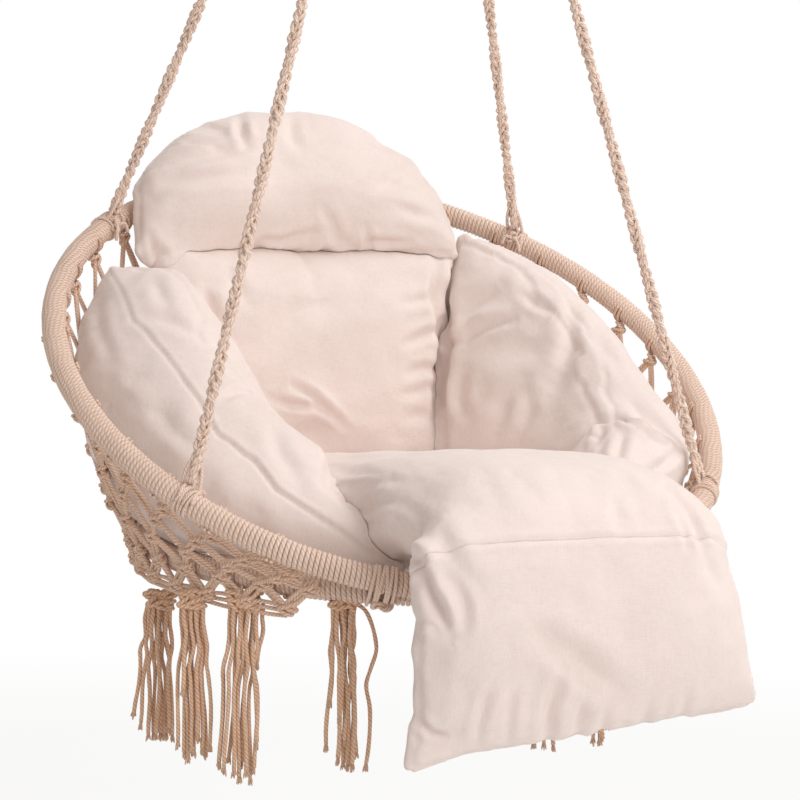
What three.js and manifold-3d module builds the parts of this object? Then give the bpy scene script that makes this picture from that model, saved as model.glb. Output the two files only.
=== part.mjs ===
// Hanging hammock chair: two cord-wound rings joined by a knotted net, braided ropes, fringe and padded cushions.
// Millimetres, +Z up, the chair faces -Y, origin where the hanging ring bears on what holds it.
import * as THREE from 'three';
import { mergeVertices } from 'three/addons/utils/BufferGeometryUtils.js';
import Module from 'manifold-3d';

const wasm = await Module();
wasm.setup();

// Fits
const clearance = 0.3;
const padClearance = 0.8;

// Where the big ring's centre hangs, from the bearing point
const hangHeight = 1022;
const hangSetback = 19;

// Rings
const bigRadius = 386;
const bigTilt = THREE.MathUtils.degToRad(33.1);
const smallRadius = 279;
const smallTilt = THREE.MathUtils.degToRad(3);
const ringContactAngle = THREE.MathUtils.degToRad(-12.5);
const steelRadius = 9.5;
const wrapWall = 3.8;
const wrapSlit = THREE.MathUtils.degToRad(14);
const wrapRadius = steelRadius + clearance + wrapWall;

// Hanging ring
const hangRingRadius = 34;
const hangWireRadius = 4;

// Ropes
const ropeRadius = 6.5;
const ropeSpacing = 14;
const ropeEyePlay = 2.2;
const ropeSeat = 2.2;
const ropeFrontAngle = THREE.MathUtils.degToRad(217.7);
const ropeBackAngle = THREE.MathUtils.degToRad(135);

// Lashings
const cordRadius = 2.5;
const lashingLoops = 3;
const lashingPitch = 6;
const ringLashingAngle = THREE.MathUtils.degToRad(251);
const ringLashingPlay = 1.7;
const leastCoilGap = 0.4;

// Net
const netMiddle = Math.PI / 2;
const netHalfSweep = THREE.MathUtils.degToRad(143);
const netFootShare = 0.98;
const netColumns = 28;
const netLevels = 5;
const netHalfThickness = 2.5;
const netKnotHalfWidth = 6;
const netKnotHalfHeight = 7;
const netBulge = 8;
const bandDrop = 24;
const bandFlare = -7;
const netKnotKeep = 20;
const netSeatPlay = 0.9;
const netFootPlay = 3.2;
const knotHeightShare = 0.3;

// Seat net
const seatNetColumns = 12;
const seatNetLevels = 3;
const seatNetSag = 34;
const seatNetHoleRadius = 46;

// Fringe
const tasselHeadRadius = 13;
const tasselWaistRadius = 8;
const tasselSpreadRadius = 18;
const tasselLobes = 5;
const tasselNetColumns = [23.5, 25.5, 26.5, 2.5, 4.5, 6.5];
const tasselNetLengths = [167, 169, 180, 134, 140, 146];
const tasselRingAngles = [236.5, 256, -76, -56.5].map((a) => THREE.MathUtils.degToRad(a));
const tasselRingLengths = [168, 132, 154, 164];

// Cushions
const seatHalfWidth = 170;
const seatSideShift = 18;
const seatHalfThickness = 60;
const seatBackEnd = 138;
const seatLevel = -158;
const frontCrestLevel = -133;
const seatWaists = { left: 34, right: 12 };
const seamFront = -396;
const seamLevel = -158;
const seamCrownPower = 30;
const seamUnderShare = 0.55;
const flapTopHalfWidth = 181;
const flapHemHalfWidth = 192;
const flapTopShift = 28;
const flapHemShift = 43;
const flapHalfThickness = 50;
const flapDrop = 184;
const flapForward = 16;
const flapHemSkew = 22;
const flapHemArch = 9;
const backHalfWidth = 196;
const backSideShift = -30;
const backHalfThickness = 58;
const backFootSetback = 196;
const backHeadSetback = 232;
const backFootLevel = -150;
const backHeadLevel = 128;
const backCurve = 38;
const headHalfWidth = 199;
const headHalfThickness = 62;
const headFootSetback = 226;
const headTopSetback = 306;
const headFootLevel = 126;
const headTopLevel = 294;
const headSideShift = -28;
const headShoulderDrops = { left: 112, right: 126 };
const headFootFlare = 16;
const headFoldSweep = THREE.MathUtils.degToRad(10);
const headFoldShares = [0.125, 0.25, 0.375, 0.5, 0.625, 0.75, 0.875, 1];
const sideHalfThickness = 68;
const sideRimStarts = { left: THREE.MathUtils.degToRad(146), right: THREE.MathUtils.degToRad(124) };
const sideFootStart = THREE.MathUtils.degToRad(122);
const sideEnd = THREE.MathUtils.degToRad(250);
const sideRimInset = 84;
const sideInsetShares = { left: [0.5, 1.15, 1.34, 1.08, 0.72], right: [0.62, 0.92, 0.7, 0.42, 0.4] };
const sideInnerShares = { left: [1.75, 1.6, 1.42, 1.4, 1.5], right: [1.15, 1.15, 1.1, 1.1, 0.9] };
const sideOuterShares = { left: [1.9, 1.65, 1.3, 0.9, 0.7], right: [0.85, 0.85, 0.8, 0.6, 0.6] };
const sideRimRise = 30;
const sideRiseShares = { left: [-0.5, 0.33, 1, 1.7, 2.2], right: [-0.5, 0.33, 1, 1.4, 1.6] };
const sideFootInset = 66;
const sideFootRise = 26;

// Facets
const bigRingSteps = 36;
const smallRingSteps = 28;
const wrapSides = 7;
const steelSides = 6;
const coilSteps = 14;
const coilSides = 5;

const up = new THREE.Vector3(0, 0, 1);
const v3 = (x, y, z) => new THREE.Vector3(x, y, z);
const mix = THREE.MathUtils.lerp;

// Points on the two ring centre lines, seen from the big ring's centre
function bigPoint(angle) {
  const deep = bigRadius * Math.sin(angle);
  return v3(bigRadius * Math.cos(angle), deep * Math.cos(bigTilt), deep * Math.sin(bigTilt));
}

const ringReach = wrapRadius * 2 + clearance;
const smallCentre = bigPoint(-Math.PI / 2).add(
  v3(
    0,
    ringReach * Math.cos(ringContactAngle) + smallRadius * Math.cos(smallTilt),
    ringReach * Math.sin(ringContactAngle) + smallRadius * Math.sin(smallTilt),
  ),
);

function smallPoint(angle) {
  const deep = smallRadius * Math.sin(angle);
  const point = v3(smallRadius * Math.cos(angle), deep * Math.cos(smallTilt), deep * Math.sin(smallTilt));
  return point.add(smallCentre);
}

// The same lines as the solids have them, straight from one ring step to the next
function stepped(pointAt, steps) {
  return (angle) => {
    const place = (angle / (Math.PI * 2)) * steps;
    const low = Math.floor(place);
    const at = (i) => pointAt((i / steps) * Math.PI * 2);
    return at(low).lerp(at(low + 1), place - low);
  };
}

const bigLine = stepped(bigPoint, bigRingSteps);
const smallLine = stepped(smallPoint, smallRingSteps);

function outward(angle) {
  return v3(Math.cos(angle), Math.sin(angle), 0);
}

// A closed solid from indexed points, turned so that its faces point out
function indexedSolid(points, faces) {
  let volume = 0;
  for (const [a, b, c] of faces) {
    volume += points[a].dot(points[b].clone().cross(points[c]));
  }
  const turned = volume < 0 ? faces.map(([a, b, c]) => [a, c, b]) : faces;
  const geometry = new THREE.BufferGeometry();
  const flat = points.flatMap((p) => [p.x, p.y, p.z]);
  geometry.setAttribute('position', new THREE.Float32BufferAttribute(flat, 3));
  geometry.setIndex(turned.flat());
  return geometry;
}

// Joins loops of equally many points into a solid, closed on itself or with flat ends
function loopSolid(loops, closed) {
  const count = loops[0].length;
  const points = loops.flat();
  const faces = [];
  const spans = closed ? loops.length : loops.length - 1;
  for (let i = 0; i < spans; i += 1) {
    const here = i * count;
    const next = ((i + 1) % loops.length) * count;
    for (let k = 0; k < count; k += 1) {
      const l = (k + 1) % count;
      faces.push([here + k, here + l, next + l]);
      faces.push([here + k, next + l, next + k]);
    }
  }
  if (!closed) {
    const last = (loops.length - 1) * count;
    for (let k = 1; k < count - 1; k += 1) {
      faces.push([0, k + 1, k]);
      faces.push([last, last + k, last + k + 1]);
    }
  }
  return indexedSolid(points, faces);
}

// A tube of round section along a list of points
function tubeSolid(path, radius, sides) {
  const loops = [];
  const along = (i) => {
    const a = path[Math.max(i - 1, 0)];
    const b = path[Math.min(i + 1, path.length - 1)];
    return b.clone().sub(a).normalize();
  };
  let side = null;
  for (let i = 0; i < path.length; i += 1) {
    const t = along(i);
    if (side === null) {
      const seed = Math.abs(t.z) < 0.9 ? up : v3(0, 1, 0);
      side = seed.clone().cross(t).normalize();
    }
    side = side.clone().addScaledVector(t, -side.dot(t)).normalize();
    const other = t.clone().cross(side);
    const loop = [];
    for (let k = 0; k < sides; k += 1) {
      const turn = (k / sides) * Math.PI * 2;
      const spoke = side.clone().multiplyScalar(Math.cos(turn)).addScaledVector(other, Math.sin(turn));
      loop.push(path[i].clone().addScaledVector(spoke, radius));
    }
    loops.push(loop);
  }
  return loopSolid(loops, false);
}

function toManifold(geometry) {
  const bare = geometry.clone();
  bare.deleteAttribute('normal');
  bare.deleteAttribute('uv');
  const merged = mergeVertices(bare);
  const vertProperties = new Float32Array(merged.attributes.position.array);
  const triVerts = new Uint32Array(merged.index.array);
  return new wasm.Manifold(new wasm.Mesh({ numProp: 3, vertProperties, triVerts }));
}

function fromManifold(body) {
  const mesh = body.getMesh();
  const geometry = new THREE.BufferGeometry();
  geometry.setAttribute('position', new THREE.BufferAttribute(new Float32Array(mesh.vertProperties), 3));
  geometry.setIndex(Array.from(mesh.triVerts));
  return geometry;
}

// What is left of a solid after its cutters, without the slivers that they leave
function cutBy(geometry, cutters) {
  let body = toManifold(geometry);
  for (const cutter of cutters) {
    body = body.subtract(cutter);
  }
  const largest = body.decompose().reduce((most, piece) => (piece.volume() > most.volume() ? piece : most));
  return fromManifold(largest);
}

// Ring solids: the steel tube, the wound sleeve round it and the space both need
function ringFrame(pointAt, angle) {
  const step = 0.001;
  const centre = pointAt(angle);
  const t = pointAt(angle + step).sub(pointAt(angle - step)).normalize();
  const spoke = outward(angle);
  const side = spoke.addScaledVector(t, -spoke.dot(t)).normalize();
  return { centre, t, side, other: t.clone().cross(side) };
}

function ringLoop(pointAt, angle, section) {
  const { centre, side, other } = ringFrame(pointAt, angle);
  return section.map(([a, b]) => centre.clone().addScaledVector(side, a).addScaledVector(other, b));
}

function ringSolid(pointAt, section, steps) {
  const loops = [];
  for (let i = 0; i < steps; i += 1) {
    loops.push(ringLoop(pointAt, (i / steps) * Math.PI * 2, section));
  }
  return loopSolid(loops, true);
}

function roundSection(radius, sides) {
  const section = [];
  for (let k = 0; k < sides; k += 1) {
    const turn = (k / sides) * Math.PI * 2;
    section.push([radius * Math.cos(turn), radius * Math.sin(turn)]);
  }
  return section;
}

// The sleeve's section: an outer and an inner arc that leave the winding's closing slit open
function sleeveSection(inner, outer, sides) {
  const section = [];
  const start = Math.PI + wrapSlit / 2;
  const sweep = Math.PI * 2 - wrapSlit;
  for (let k = 0; k <= sides; k += 1) {
    const turn = start + (k / sides) * sweep;
    section.push([outer * Math.cos(turn), outer * Math.sin(turn)]);
  }
  for (let k = sides; k >= 0; k -= 1) {
    const turn = start + (k / sides) * sweep;
    section.push([inner * Math.cos(turn), inner * Math.sin(turn)]);
  }
  return section;
}

// Facets of the steel stay inside the sleeve's facets
const steelFit = Math.cos(Math.PI / wrapSides);
const steelSection = roundSection(steelRadius * steelFit, steelSides);
const wrapSection = sleeveSection(steelRadius + clearance, wrapRadius, wrapSides);
const spaceSection = roundSection((wrapRadius + clearance) / steelFit, wrapSides);

// A coil of cord along a closed planar path, climbing along an axis, with straight tangent ends
function coilPath(centre, axis, outlineAt, loops, pitch) {
  const path = [];
  const steps = loops * coilSteps;
  for (let i = 0; i <= steps; i += 1) {
    const climb = (i / steps - 0.5) * loops * pitch;
    path.push(outlineAt((i / coilSteps) % 1).add(centre).addScaledVector(axis, climb));
  }
  const straight = (a, b) => b.clone().add(b.clone().sub(a).normalize().multiplyScalar(cordRadius * 2));
  path.unshift(straight(path[1], path[0]));
  path.push(straight(path[path.length - 2], path[path.length - 1]));
  return path;
}

function coilGap(path) {
  let least = Infinity;
  for (let i = 0; i < path.length; i += 1) {
    for (let j = i + coilSteps / 2; j < path.length; j += 1) {
      least = Math.min(least, path[i].distanceTo(path[j]) - cordRadius * 2);
    }
  }
  return least;
}

function coilSolid(name, path) {
  const gap = coilGap(path);
  console.log(`${name}: least gap between turns ${gap.toFixed(2)} mm`, gap > leastCoilGap ? 'clear' : 'too tight');
  return tubeSolid(path, cordRadius, coilSides);
}

const coilRadius = (wrapRadius + clearance + cordRadius) / Math.cos(Math.PI / coilSteps);

// Cord turns round the big ring where a rope's foot is tied
function footLashingPath(angle) {
  const { centre, t, side, other } = ringFrame(bigLine, angle);
  const outlineAt = (share) => {
    const turn = share * Math.PI * 2 + Math.PI;
    return side.clone().multiplyScalar(coilRadius * Math.cos(turn)).addScaledVector(other, coilRadius * Math.sin(turn));
  };
  return coilPath(centre, t, outlineAt, lashingLoops, lashingPitch);
}

// The angle on the small ring that stands across from an angle on the big one
function facingAngle(angle) {
  const share = (bigRadius * Math.cos(angle)) / smallRadius;
  const turn = Math.acos(share);
  return Math.sin(angle) < 0 ? -turn : turn;
}

function ringLashingFrame(angle) {
  const big = ringFrame(bigLine, angle);
  const small = ringFrame(smallLine, facingAngle(angle));
  const axis = big.t.clone().add(small.t).normalize();
  const reach = small.centre.clone().sub(big.centre);
  reach.addScaledVector(axis, -reach.dot(axis));
  const centre = big.centre.clone().add(small.centre).multiplyScalar(0.5);
  const along = reach.clone().normalize();
  return { centre, axis, along, across: axis.clone().cross(along), half: reach.length() / 2 };
}

// Cord turns round both rings: two half circles joined by straight runs
function stadiumAt(share, half, radius) {
  const arc = Math.PI * radius;
  const run = 2 * half;
  const whole = 2 * (arc + run);
  let s = share * whole;
  if (s < arc) {
    const turn = -Math.PI / 2 + s / radius;
    return [half + radius * Math.cos(turn), radius * Math.sin(turn)];
  }
  s -= arc;
  if (s < run) {
    return [half - s, radius];
  }
  s -= run;
  if (s < arc) {
    const turn = Math.PI / 2 + s / radius;
    return [radius * Math.cos(turn) - half, radius * Math.sin(turn)];
  }
  s -= arc;
  return [s - half, -radius];
}

function ringLashingPath(angle) {
  const { centre, axis, along, across, half } = ringLashingFrame(angle);
  const outlineAt = (share) => {
    const [a, b] = stadiumAt(share, half, coilRadius + ringLashingPlay);
    return along.clone().multiplyScalar(a).addScaledVector(across, b);
  };
  return coilPath(centre, axis, outlineAt, lashingLoops, lashingPitch);
}

// A flat band block round a lashing, which soft pieces keep clear of
function lashingSpace({ centre, axis, along, across, half }, radius) {
  const grown = radius + cordRadius + clearance * 2;
  const reach = (lashingLoops * lashingPitch) / 2 + cordRadius * 2;
  const loops = [-reach, reach].map((shift) => {
    const loop = [];
    for (let k = 0; k < coilSteps; k += 1) {
      const [a, b] = stadiumAt(k / coilSteps, half, grown);
      loop.push(centre.clone().addScaledVector(axis, shift).addScaledVector(along, a).addScaledVector(across, b));
    }
    return loop;
  });
  return loopSolid(loops, false);
}

function footLashingSpace(angle) {
  const { centre, t, side, other } = ringFrame(bigLine, angle);
  return lashingSpace({ centre, axis: t, along: side, across: other, half: clearance }, coilRadius);
}

function ringLashingSpace(angle) {
  return lashingSpace(ringLashingFrame(angle), coilRadius + ringLashingPlay);
}

// Ropes: one length from the front lashing up over the hanging ring and down to the back lashing
const bearing = v3(0, -hangSetback, hangHeight);
const hangCentreDrop = hangRingRadius - hangWireRadius;

function ropeFoot(angle, target) {
  const { centre, t } = ringFrame(bigLine, angle);
  const away = target.clone().sub(centre).normalize();
  const lean = Math.abs(away.dot(t));
  const reach = (coilRadius + cordRadius - ropeSeat + ropeRadius * lean) / Math.sqrt(1 - lean * lean);
  return centre.addScaledVector(away, reach);
}

function mirrorPath(path, side) {
  return path.map((p) => v3(-side * p.x, p.y, p.z));
}

function ropePath(side, grow) {
  const eyeDrop = hangCentreDrop + Math.sqrt(hangRingRadius ** 2 - ropeSpacing ** 2);
  const eye = bearing.clone().add(v3(-ropeSpacing, 0, -eyeDrop));
  const eyeRadius = hangWireRadius + ropeRadius + ropeEyePlay;
  const legSteps = 8;
  const leg = (angle, lean) => {
    const neck = eye.clone().add(v3(0, lean * eyeRadius, 0));
    const foot = ropeFoot(angle, neck);
    const run = [];
    for (let i = 0; i < legSteps; i += 1) {
      run.push(foot.clone().lerp(neck, i / legSteps));
    }
    return run;
  };
  const path = leg(ropeFrontAngle, -1);
  const arcSteps = 8;
  for (let i = 0; i <= arcSteps; i += 1) {
    const turn = Math.PI - (i / arcSteps) * Math.PI;
    path.push(eye.clone().add(v3(0, eyeRadius * Math.cos(turn), eyeRadius * Math.sin(turn))));
  }
  path.push(...leg(ropeBackAngle, 1).reverse());
  if (grow > 0) {
    const last = path.length - 1;
    path[0].addScaledVector(path[0].clone().sub(path[1]).normalize(), grow);
    path[last].addScaledVector(path[last].clone().sub(path[last - 1]).normalize(), grow);
  }
  return mirrorPath(path, side);
}

// Net: knots on a staggered grid, joined by flat cord pairs into one open lattice
const footTurn = (angle) => netMiddle + (angle - netMiddle) * netFootShare;

function netFoot(turn) {
  return smallLine(turn).addScaledVector(outward(turn), wrapRadius + netHalfThickness + netFootPlay);
}

function wallPoint(angle, share) {
  const big = bigLine(angle);
  const small = smallLine(footTurn(angle));
  const down = small.clone().sub(big).normalize();
  const slant = down.dot(ringFrame(bigLine, angle).t);
  const seat = (wrapRadius + netSeatPlay + netKnotHalfHeight) / Math.sqrt(1 - slant * slant);
  const head = big.clone().addScaledVector(down, seat);
  const foot = netFoot(footTurn(angle));
  const ends = Math.min(1, (big.z - small.z) / (bigRadius * Math.sin(bigTilt)));
  const bulge = netBulge * Math.sin(Math.PI * share ** 1.8) * mix(0.4, 1, Math.max(ends, 0));
  return head.lerp(foot, share).addScaledVector(outward(angle), bulge);
}

function bandPoint(turn, share) {
  return netFoot(turn).addScaledVector(outward(turn), bandFlare * share).addScaledVector(up, -bandDrop * share);
}

// The top row's knots slide along the ring until they are clear of a rope's lashing
function clearOfLashings(angle) {
  const turn = netKnotKeep / bigRadius;
  for (const side of [ropeFrontAngle, Math.PI - ropeFrontAngle, ropeBackAngle, Math.PI - ropeBackAngle]) {
    const away = angle - side;
    if (Math.abs(away) < turn) {
      return side + Math.sign(away) * turn;
    }
  }
  return angle;
}

function netKnot(column, level) {
  const even = netMiddle + mix(-netHalfSweep, netHalfSweep, column / netColumns);
  const angle = mix(clearOfLashings(even), even, Math.min(level, 1));
  const last = netLevels - 1;
  return level > last ? bandPoint(footTurn(angle), level - last) : wallPoint(angle, level / last);
}

function latticeSolid(knotAt, columns, levels, closed, size) {
  const points = [];
  const faces = [];
  const knots = new Map();
  const wrapColumn = (c) => (closed ? (c + columns) % columns : c);
  const key = (c, l) => `${wrapColumn(c)}:${l}`;
  const quad = (a, b, c, d) => {
    faces.push([a, b, c]);
    faces.push([a, c, d]);
  };
  const addKnot = (c, l) => {
    const centre = knotAt(c, l);
    const small = 0.25;
    const across = knotAt(c + small, l).sub(knotAt(c - small, l)).normalize();
    const lowLevel = Math.min(l + small, levels);
    const highLevel = Math.max(l - small, 0);
    const down = knotAt(c, lowLevel).sub(knotAt(c, highLevel));
    const spacing = down.length() / (lowLevel - highLevel);
    const height = Math.min(size.height, spacing * knotHeightShare);
    down.normalize();
    const normal = across.clone().cross(down).normalize();
    const plumb = normal.clone().cross(across).normalize();
    const first = points.length;
    const corners = [[1, 0], [0, 1], [-1, 0], [0, -1]];
    for (const face of [1, -1]) {
      for (const [a, b] of corners) {
        const point = centre.clone().addScaledVector(across, a * size.width);
        point.addScaledVector(plumb, b * height).addScaledVector(normal, face * size.thickness);
        points.push(point);
      }
    }
    knots.set(key(c, l), { first, open: new Set([0, 1, 2, 3]) });
    quad(first, first + 1, first + 2, first + 3);
    quad(first + 7, first + 6, first + 5, first + 4);
  };
  for (let l = 0; l <= levels; l += 1) {
    const offset = (l % 2) / 2;
    const count = closed || offset > 0 ? columns : columns + 1;
    for (let i = 0; i < count; i += 1) {
      addKnot(i + offset, l);
    }
  }
  // side 0 runs right to down, 1 down to left, 2 left to up, 3 up to right
  const join = (a, sideA, b, sideB) => {
    const p = a.first + sideA;
    const q = a.first + ((sideA + 1) % 4);
    const r = b.first + sideB;
    const s = b.first + ((sideB + 1) % 4);
    quad(q, p, s, r);
    quad(p + 4, q + 4, r + 4, s + 4);
    quad(p, p + 4, s + 4, s);
    quad(q + 4, q, r, r + 4);
    a.open.delete(sideA);
    b.open.delete(sideB);
  };
  for (let l = 0; l < levels; l += 1) {
    const offset = (l % 2) / 2;
    const count = closed || offset > 0 ? columns : columns + 1;
    for (let i = 0; i < count; i += 1) {
      const here = knots.get(key(i + offset, l));
      const right = knots.get(key(i + offset + 0.5, l + 1));
      const left = knots.get(key(i + offset - 0.5, l + 1));
      if (right) {
        join(here, 0, right, 2);
      }
      if (left) {
        join(here, 1, left, 3);
      }
    }
  }
  for (const { first, open } of knots.values()) {
    for (const side of open) {
      const p = first + side;
      const q = first + ((side + 1) % 4);
      quad(q, p, p + 4, q + 4);
    }
  }
  return indexedSolid(points, faces);
}

function seatKnot(column, level) {
  const angle = ((column + 0.5) / seatNetColumns) * Math.PI * 2;
  const inside = smallRadius * Math.cos(Math.PI / smallRingSteps);
  const rim = inside - wrapRadius - clearance - netKnotHalfHeight;
  const radius = mix(rim, seatNetHoleRadius, level / seatNetLevels);
  const sag = seatNetSag * (1 - (radius / rim) ** 2);
  const deep = radius * Math.sin(angle);
  return smallCentre.clone().add(v3(radius * Math.cos(angle), deep * Math.cos(smallTilt), deep * Math.sin(smallTilt) - sag));
}

// Blocks outside the net and under the seat net, which soft pieces keep clear of
function wallSpace() {
  const columns = netColumns * 2;
  const rows = netLevels - 1;
  const keep = netHalfThickness + clearance * 8;
  const away = bigRadius - smallRadius;
  const loops = [];
  for (let i = 0; i <= columns; i += 1) {
    const angle = netMiddle + mix(-netHalfSweep, netHalfSweep, i / columns);
    const side = outward(angle);
    const head = bigLine(angle);
    const inner = [head];
    const outer = [head.clone().addScaledVector(side, away)];
    for (let j = 0; j <= rows; j += 1) {
      const point = wallPoint(angle, j / rows);
      inner.push(point.clone().addScaledVector(side, -keep));
      outer.push(point.clone().addScaledVector(side, away));
    }
    loops.push([...inner, ...outer.reverse()]);
  }
  return loopSolid(loops, false);
}

function seatFloorSpace() {
  const rings = [];
  const keep = netHalfThickness + clearance * 5;
  const deep = bigRadius - smallRadius;
  const levels = seatNetLevels;
  for (let j = levels; j >= 0; j -= 1) {
    rings.push(j);
  }
  const points = [];
  const faces = [];
  const columns = seatNetColumns * 2;
  for (const j of rings) {
    for (let i = 0; i < columns; i += 1) {
      points.push(seatKnot(i / 2, j).addScaledVector(up, keep));
    }
  }
  const top = points.length;
  for (let i = 0; i < top; i += 1) {
    points.push(points[i].clone().addScaledVector(up, -deep));
  }
  for (let r = 0; r < rings.length - 1; r += 1) {
    for (let i = 0; i < columns; i += 1) {
      const k = (i + 1) % columns;
      const a = r * columns + i;
      const b = r * columns + k;
      const c = (r + 1) * columns + k;
      const d = (r + 1) * columns + i;
      faces.push([a, d, c], [a, c, b], [top + a, top + c, top + d], [top + a, top + b, top + c]);
    }
  }
  const outer = (rings.length - 1) * columns;
  const centre = points.length;
  points.push(points[0].clone().add(points[seatNetColumns]).multiplyScalar(0.5));
  points.push(points[centre].clone().addScaledVector(up, -deep));
  for (let i = 0; i < columns; i += 1) {
    const k = (i + 1) % columns;
    faces.push([outer + i, top + outer + i, top + outer + k], [outer + i, top + outer + k, outer + k]);
    faces.push([centre, i, k], [centre + 1, top + k, top + i]);
  }
  return indexedSolid(points, faces);
}

// Fringe: a knot over a bundle of strands that spreads a little to its cut ends
function tasselSolid(carrier, carrierRadius, length) {
  const top = carrier.clone().addScaledVector(up, -carrierRadius - clearance);
  const heightShares = [0, 0.05, 0.13, 0.19, 0.55, 1];
  const radii = [
    tasselHeadRadius * 0.5,
    tasselHeadRadius,
    tasselHeadRadius * 0.85,
    tasselWaistRadius,
    mix(tasselWaistRadius, tasselSpreadRadius, 0.6),
    tasselSpreadRadius,
  ];
  const lobeShares = [0, 0.05, 0.06, 0.16, 0.2, 0.22];
  const loops = heightShares.map((share, i) => {
    const loop = [];
    for (let k = 0; k < tasselLobes * 2; k += 1) {
      const turn = (k / (tasselLobes * 2)) * Math.PI * 2;
      const radius = radii[i] * (k % 2 === 0 ? 1 : 1 - lobeShares[i] * 1.5);
      loop.push(top.clone().add(v3(radius * Math.cos(turn), radius * Math.sin(turn), -length * share)));
    }
    return loop;
  });
  return loopSolid(loops, false);
}

const rimShare = 0.96;
const rimGrowth = 1.6;

// Cushions: two crowned faces over one middle surface, sewn together along the rim
function padSolid(spec, grow) {
  const { across, along, middleAt, halfThickness, crownAt } = spec;
  const spread = (i, count) => Math.sin((i / count - 0.5) * Math.PI);
  const frameAt = (u, v) => {
    const step = 0.01;
    const low = (x) => Math.max(x - step, -1);
    const high = (x) => Math.min(x + step, 1);
    const du = middleAt(high(u), v).sub(middleAt(low(u), v));
    const dv = middleAt(u, high(v)).sub(middleAt(u, low(v)));
    return du.cross(dv).normalize();
  };
  const points = [];
  const index = (i, j, face) => face * (across + 1) * (along + 1) + i * (along + 1) + j;
  for (const face of [0, 1]) {
    for (let i = 0; i <= across; i += 1) {
      for (let j = 0; j <= along; j += 1) {
        const u = spread(i, across);
        const v = spread(j, along);
        const thick = halfThickness * crownAt(u, v, face);
        const normal = frameAt(u, v);
        const rim = i === 0 || j === 0 || i === across || j === along;
        const lift = rim ? 0 : thick + grow;
        const point = middleAt(u, v);
        if (rim) {
          const inward = middleAt(u * rimShare, v * rimShare).sub(point).normalize();
          point.addScaledVector(inward, -grow * rimGrowth);
        }
        points.push(point.addScaledVector(normal, face ? -lift : lift));
      }
    }
  }
  const rim = (i, j) => i === 0 || j === 0 || i === across || j === along;
  const at = (i, j, face) => index(i, j, rim(i, j) ? 0 : face);
  const faces = [];
  for (const face of [0, 1]) {
    for (let i = 0; i < across; i += 1) {
      for (let j = 0; j < along; j += 1) {
        const a = at(i, j, face);
        const b = at(i + 1, j, face);
        const c = at(i + 1, j + 1, face);
        const d = at(i, j + 1, face);
        if (face) {
          faces.push([a, c, b], [a, d, c]);
        } else {
          faces.push([a, b, c], [a, c, d]);
        }
      }
    }
  }
  const used = [...new Set(faces.flat())];
  const renumber = new Map(used.map((old, fresh) => [old, fresh]));
  const kept = used.map((old) => points[old]);
  return indexedSolid(kept, faces.map((f) => f.map((n) => renumber.get(n))));
}

const crown = (s, power) => Math.sqrt(Math.max(1 - Math.abs(s) ** power, 0));

// A smooth curve through named places in the chair's middle plane, as depth and height
function profileCurve(places) {
  return new THREE.CatmullRomCurve3(places.map(([y, z]) => v3(0, y, z)), false, 'centripetal');
}

const seatProfile = profileCurve([
  [seatBackEnd, seatLevel + seatHalfThickness * 0.12],
  [seatBackEnd * 0.4, seatLevel],
  [seamFront * 0.15, seatLevel],
  [seamFront * 0.45, mix(seatLevel, frontCrestLevel, 0.45)],
  [seamFront * 0.7, frontCrestLevel],
  [seamFront * 0.86, frontCrestLevel],
  [seamFront * 0.965, mix(frontCrestLevel, seamLevel, 0.42)],
  [seamFront, seamLevel],
]);

const flapProfile = profileCurve([
  [seamFront - padClearance, seamLevel - padClearance],
  [seamFront - flapForward * 0.75, seamLevel - flapDrop * 0.22],
  [seamFront - flapForward, seamLevel - flapDrop * 0.5],
  [seamFront - flapForward, seamLevel - flapDrop * 0.75],
  [seamFront - flapForward * 0.9, seamLevel - flapDrop],
]);

// The seat and the flap thin out below where they meet
const underAt = (face, near) => (face === 0 ? mix(1, seamUnderShare, near) : 1);

const seatPad = {
  across: 12,
  along: 16,
  halfThickness: seatHalfThickness,
  middleAt: (u, v) => {
    const point = seatProfile.getPoint((THREE.MathUtils.clamp(v, -1, 1) + 1) / 2);
    const narrow = 1 - 0.05 * (1 - Math.abs(u)) - 0.04 * Math.max(-v, 0);
    const front = Math.max(v, 0);
    const shift = mix(seatSideShift, flapTopShift, front);
    const waist = (u < 0 ? seatWaists.left : seatWaists.right) * Math.sin(Math.PI * front);
    return point.add(v3(shift + (mix(seatHalfWidth, flapTopHalfWidth, front) * narrow - waist) * u, 0, 0));
  },
  crownAt: (u, v, face) => {
    const near = Math.max(v, 0) ** 2;
    const taper = mix(1, flapHalfThickness / seatHalfThickness, near) * underAt(face, near);
    return crown(u, 4) * (v > 0 ? crown(v, seamCrownPower) * taper : crown(v, 4));
  },
};

const flapPad = {
  across: 12,
  along: 10,
  halfThickness: flapHalfThickness,
  middleAt: (u, v) => {
    const share = (THREE.MathUtils.clamp(v, -1, 1) + 1) / 2;
    const point = flapProfile.getPoint(share);
    const waist = 1 - 0.035 * (1 - v * v) * Math.abs(u);
    const skew = (flapHemSkew * u + flapHemArch * (1 - u * u)) * share * share;
    const shift = mix(flapTopShift, flapHemShift, share);
    const reach = mix(flapTopHalfWidth, flapHemHalfWidth, share) * u * waist;
    return point.add(v3(shift + reach, 0, skew));
  },
  crownAt: (u, v, face) => {
    const near = Math.max(-v, 0) ** 2;
    return crown(u, 4) * (v > 0 ? crown(v, 3) : crown(v, seamCrownPower) * underAt(face, near));
  },
};

const backPad = {
  across: 10,
  along: 10,
  halfThickness: backHalfThickness,
  middleAt: (u, v) => {
    const share = (v + 1) / 2;
    const depth = mix(backFootSetback, backHeadSetback, share) - backCurve * u * u;
    const reach = backSideShift + backHalfWidth * u * (1 - 0.04 * (1 - v * v));
    return v3(reach, depth, mix(backFootLevel, backHeadLevel, share));
  },
  crownAt: (u, v) => crown(u, 3) * crown(v, 4),
};

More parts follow.
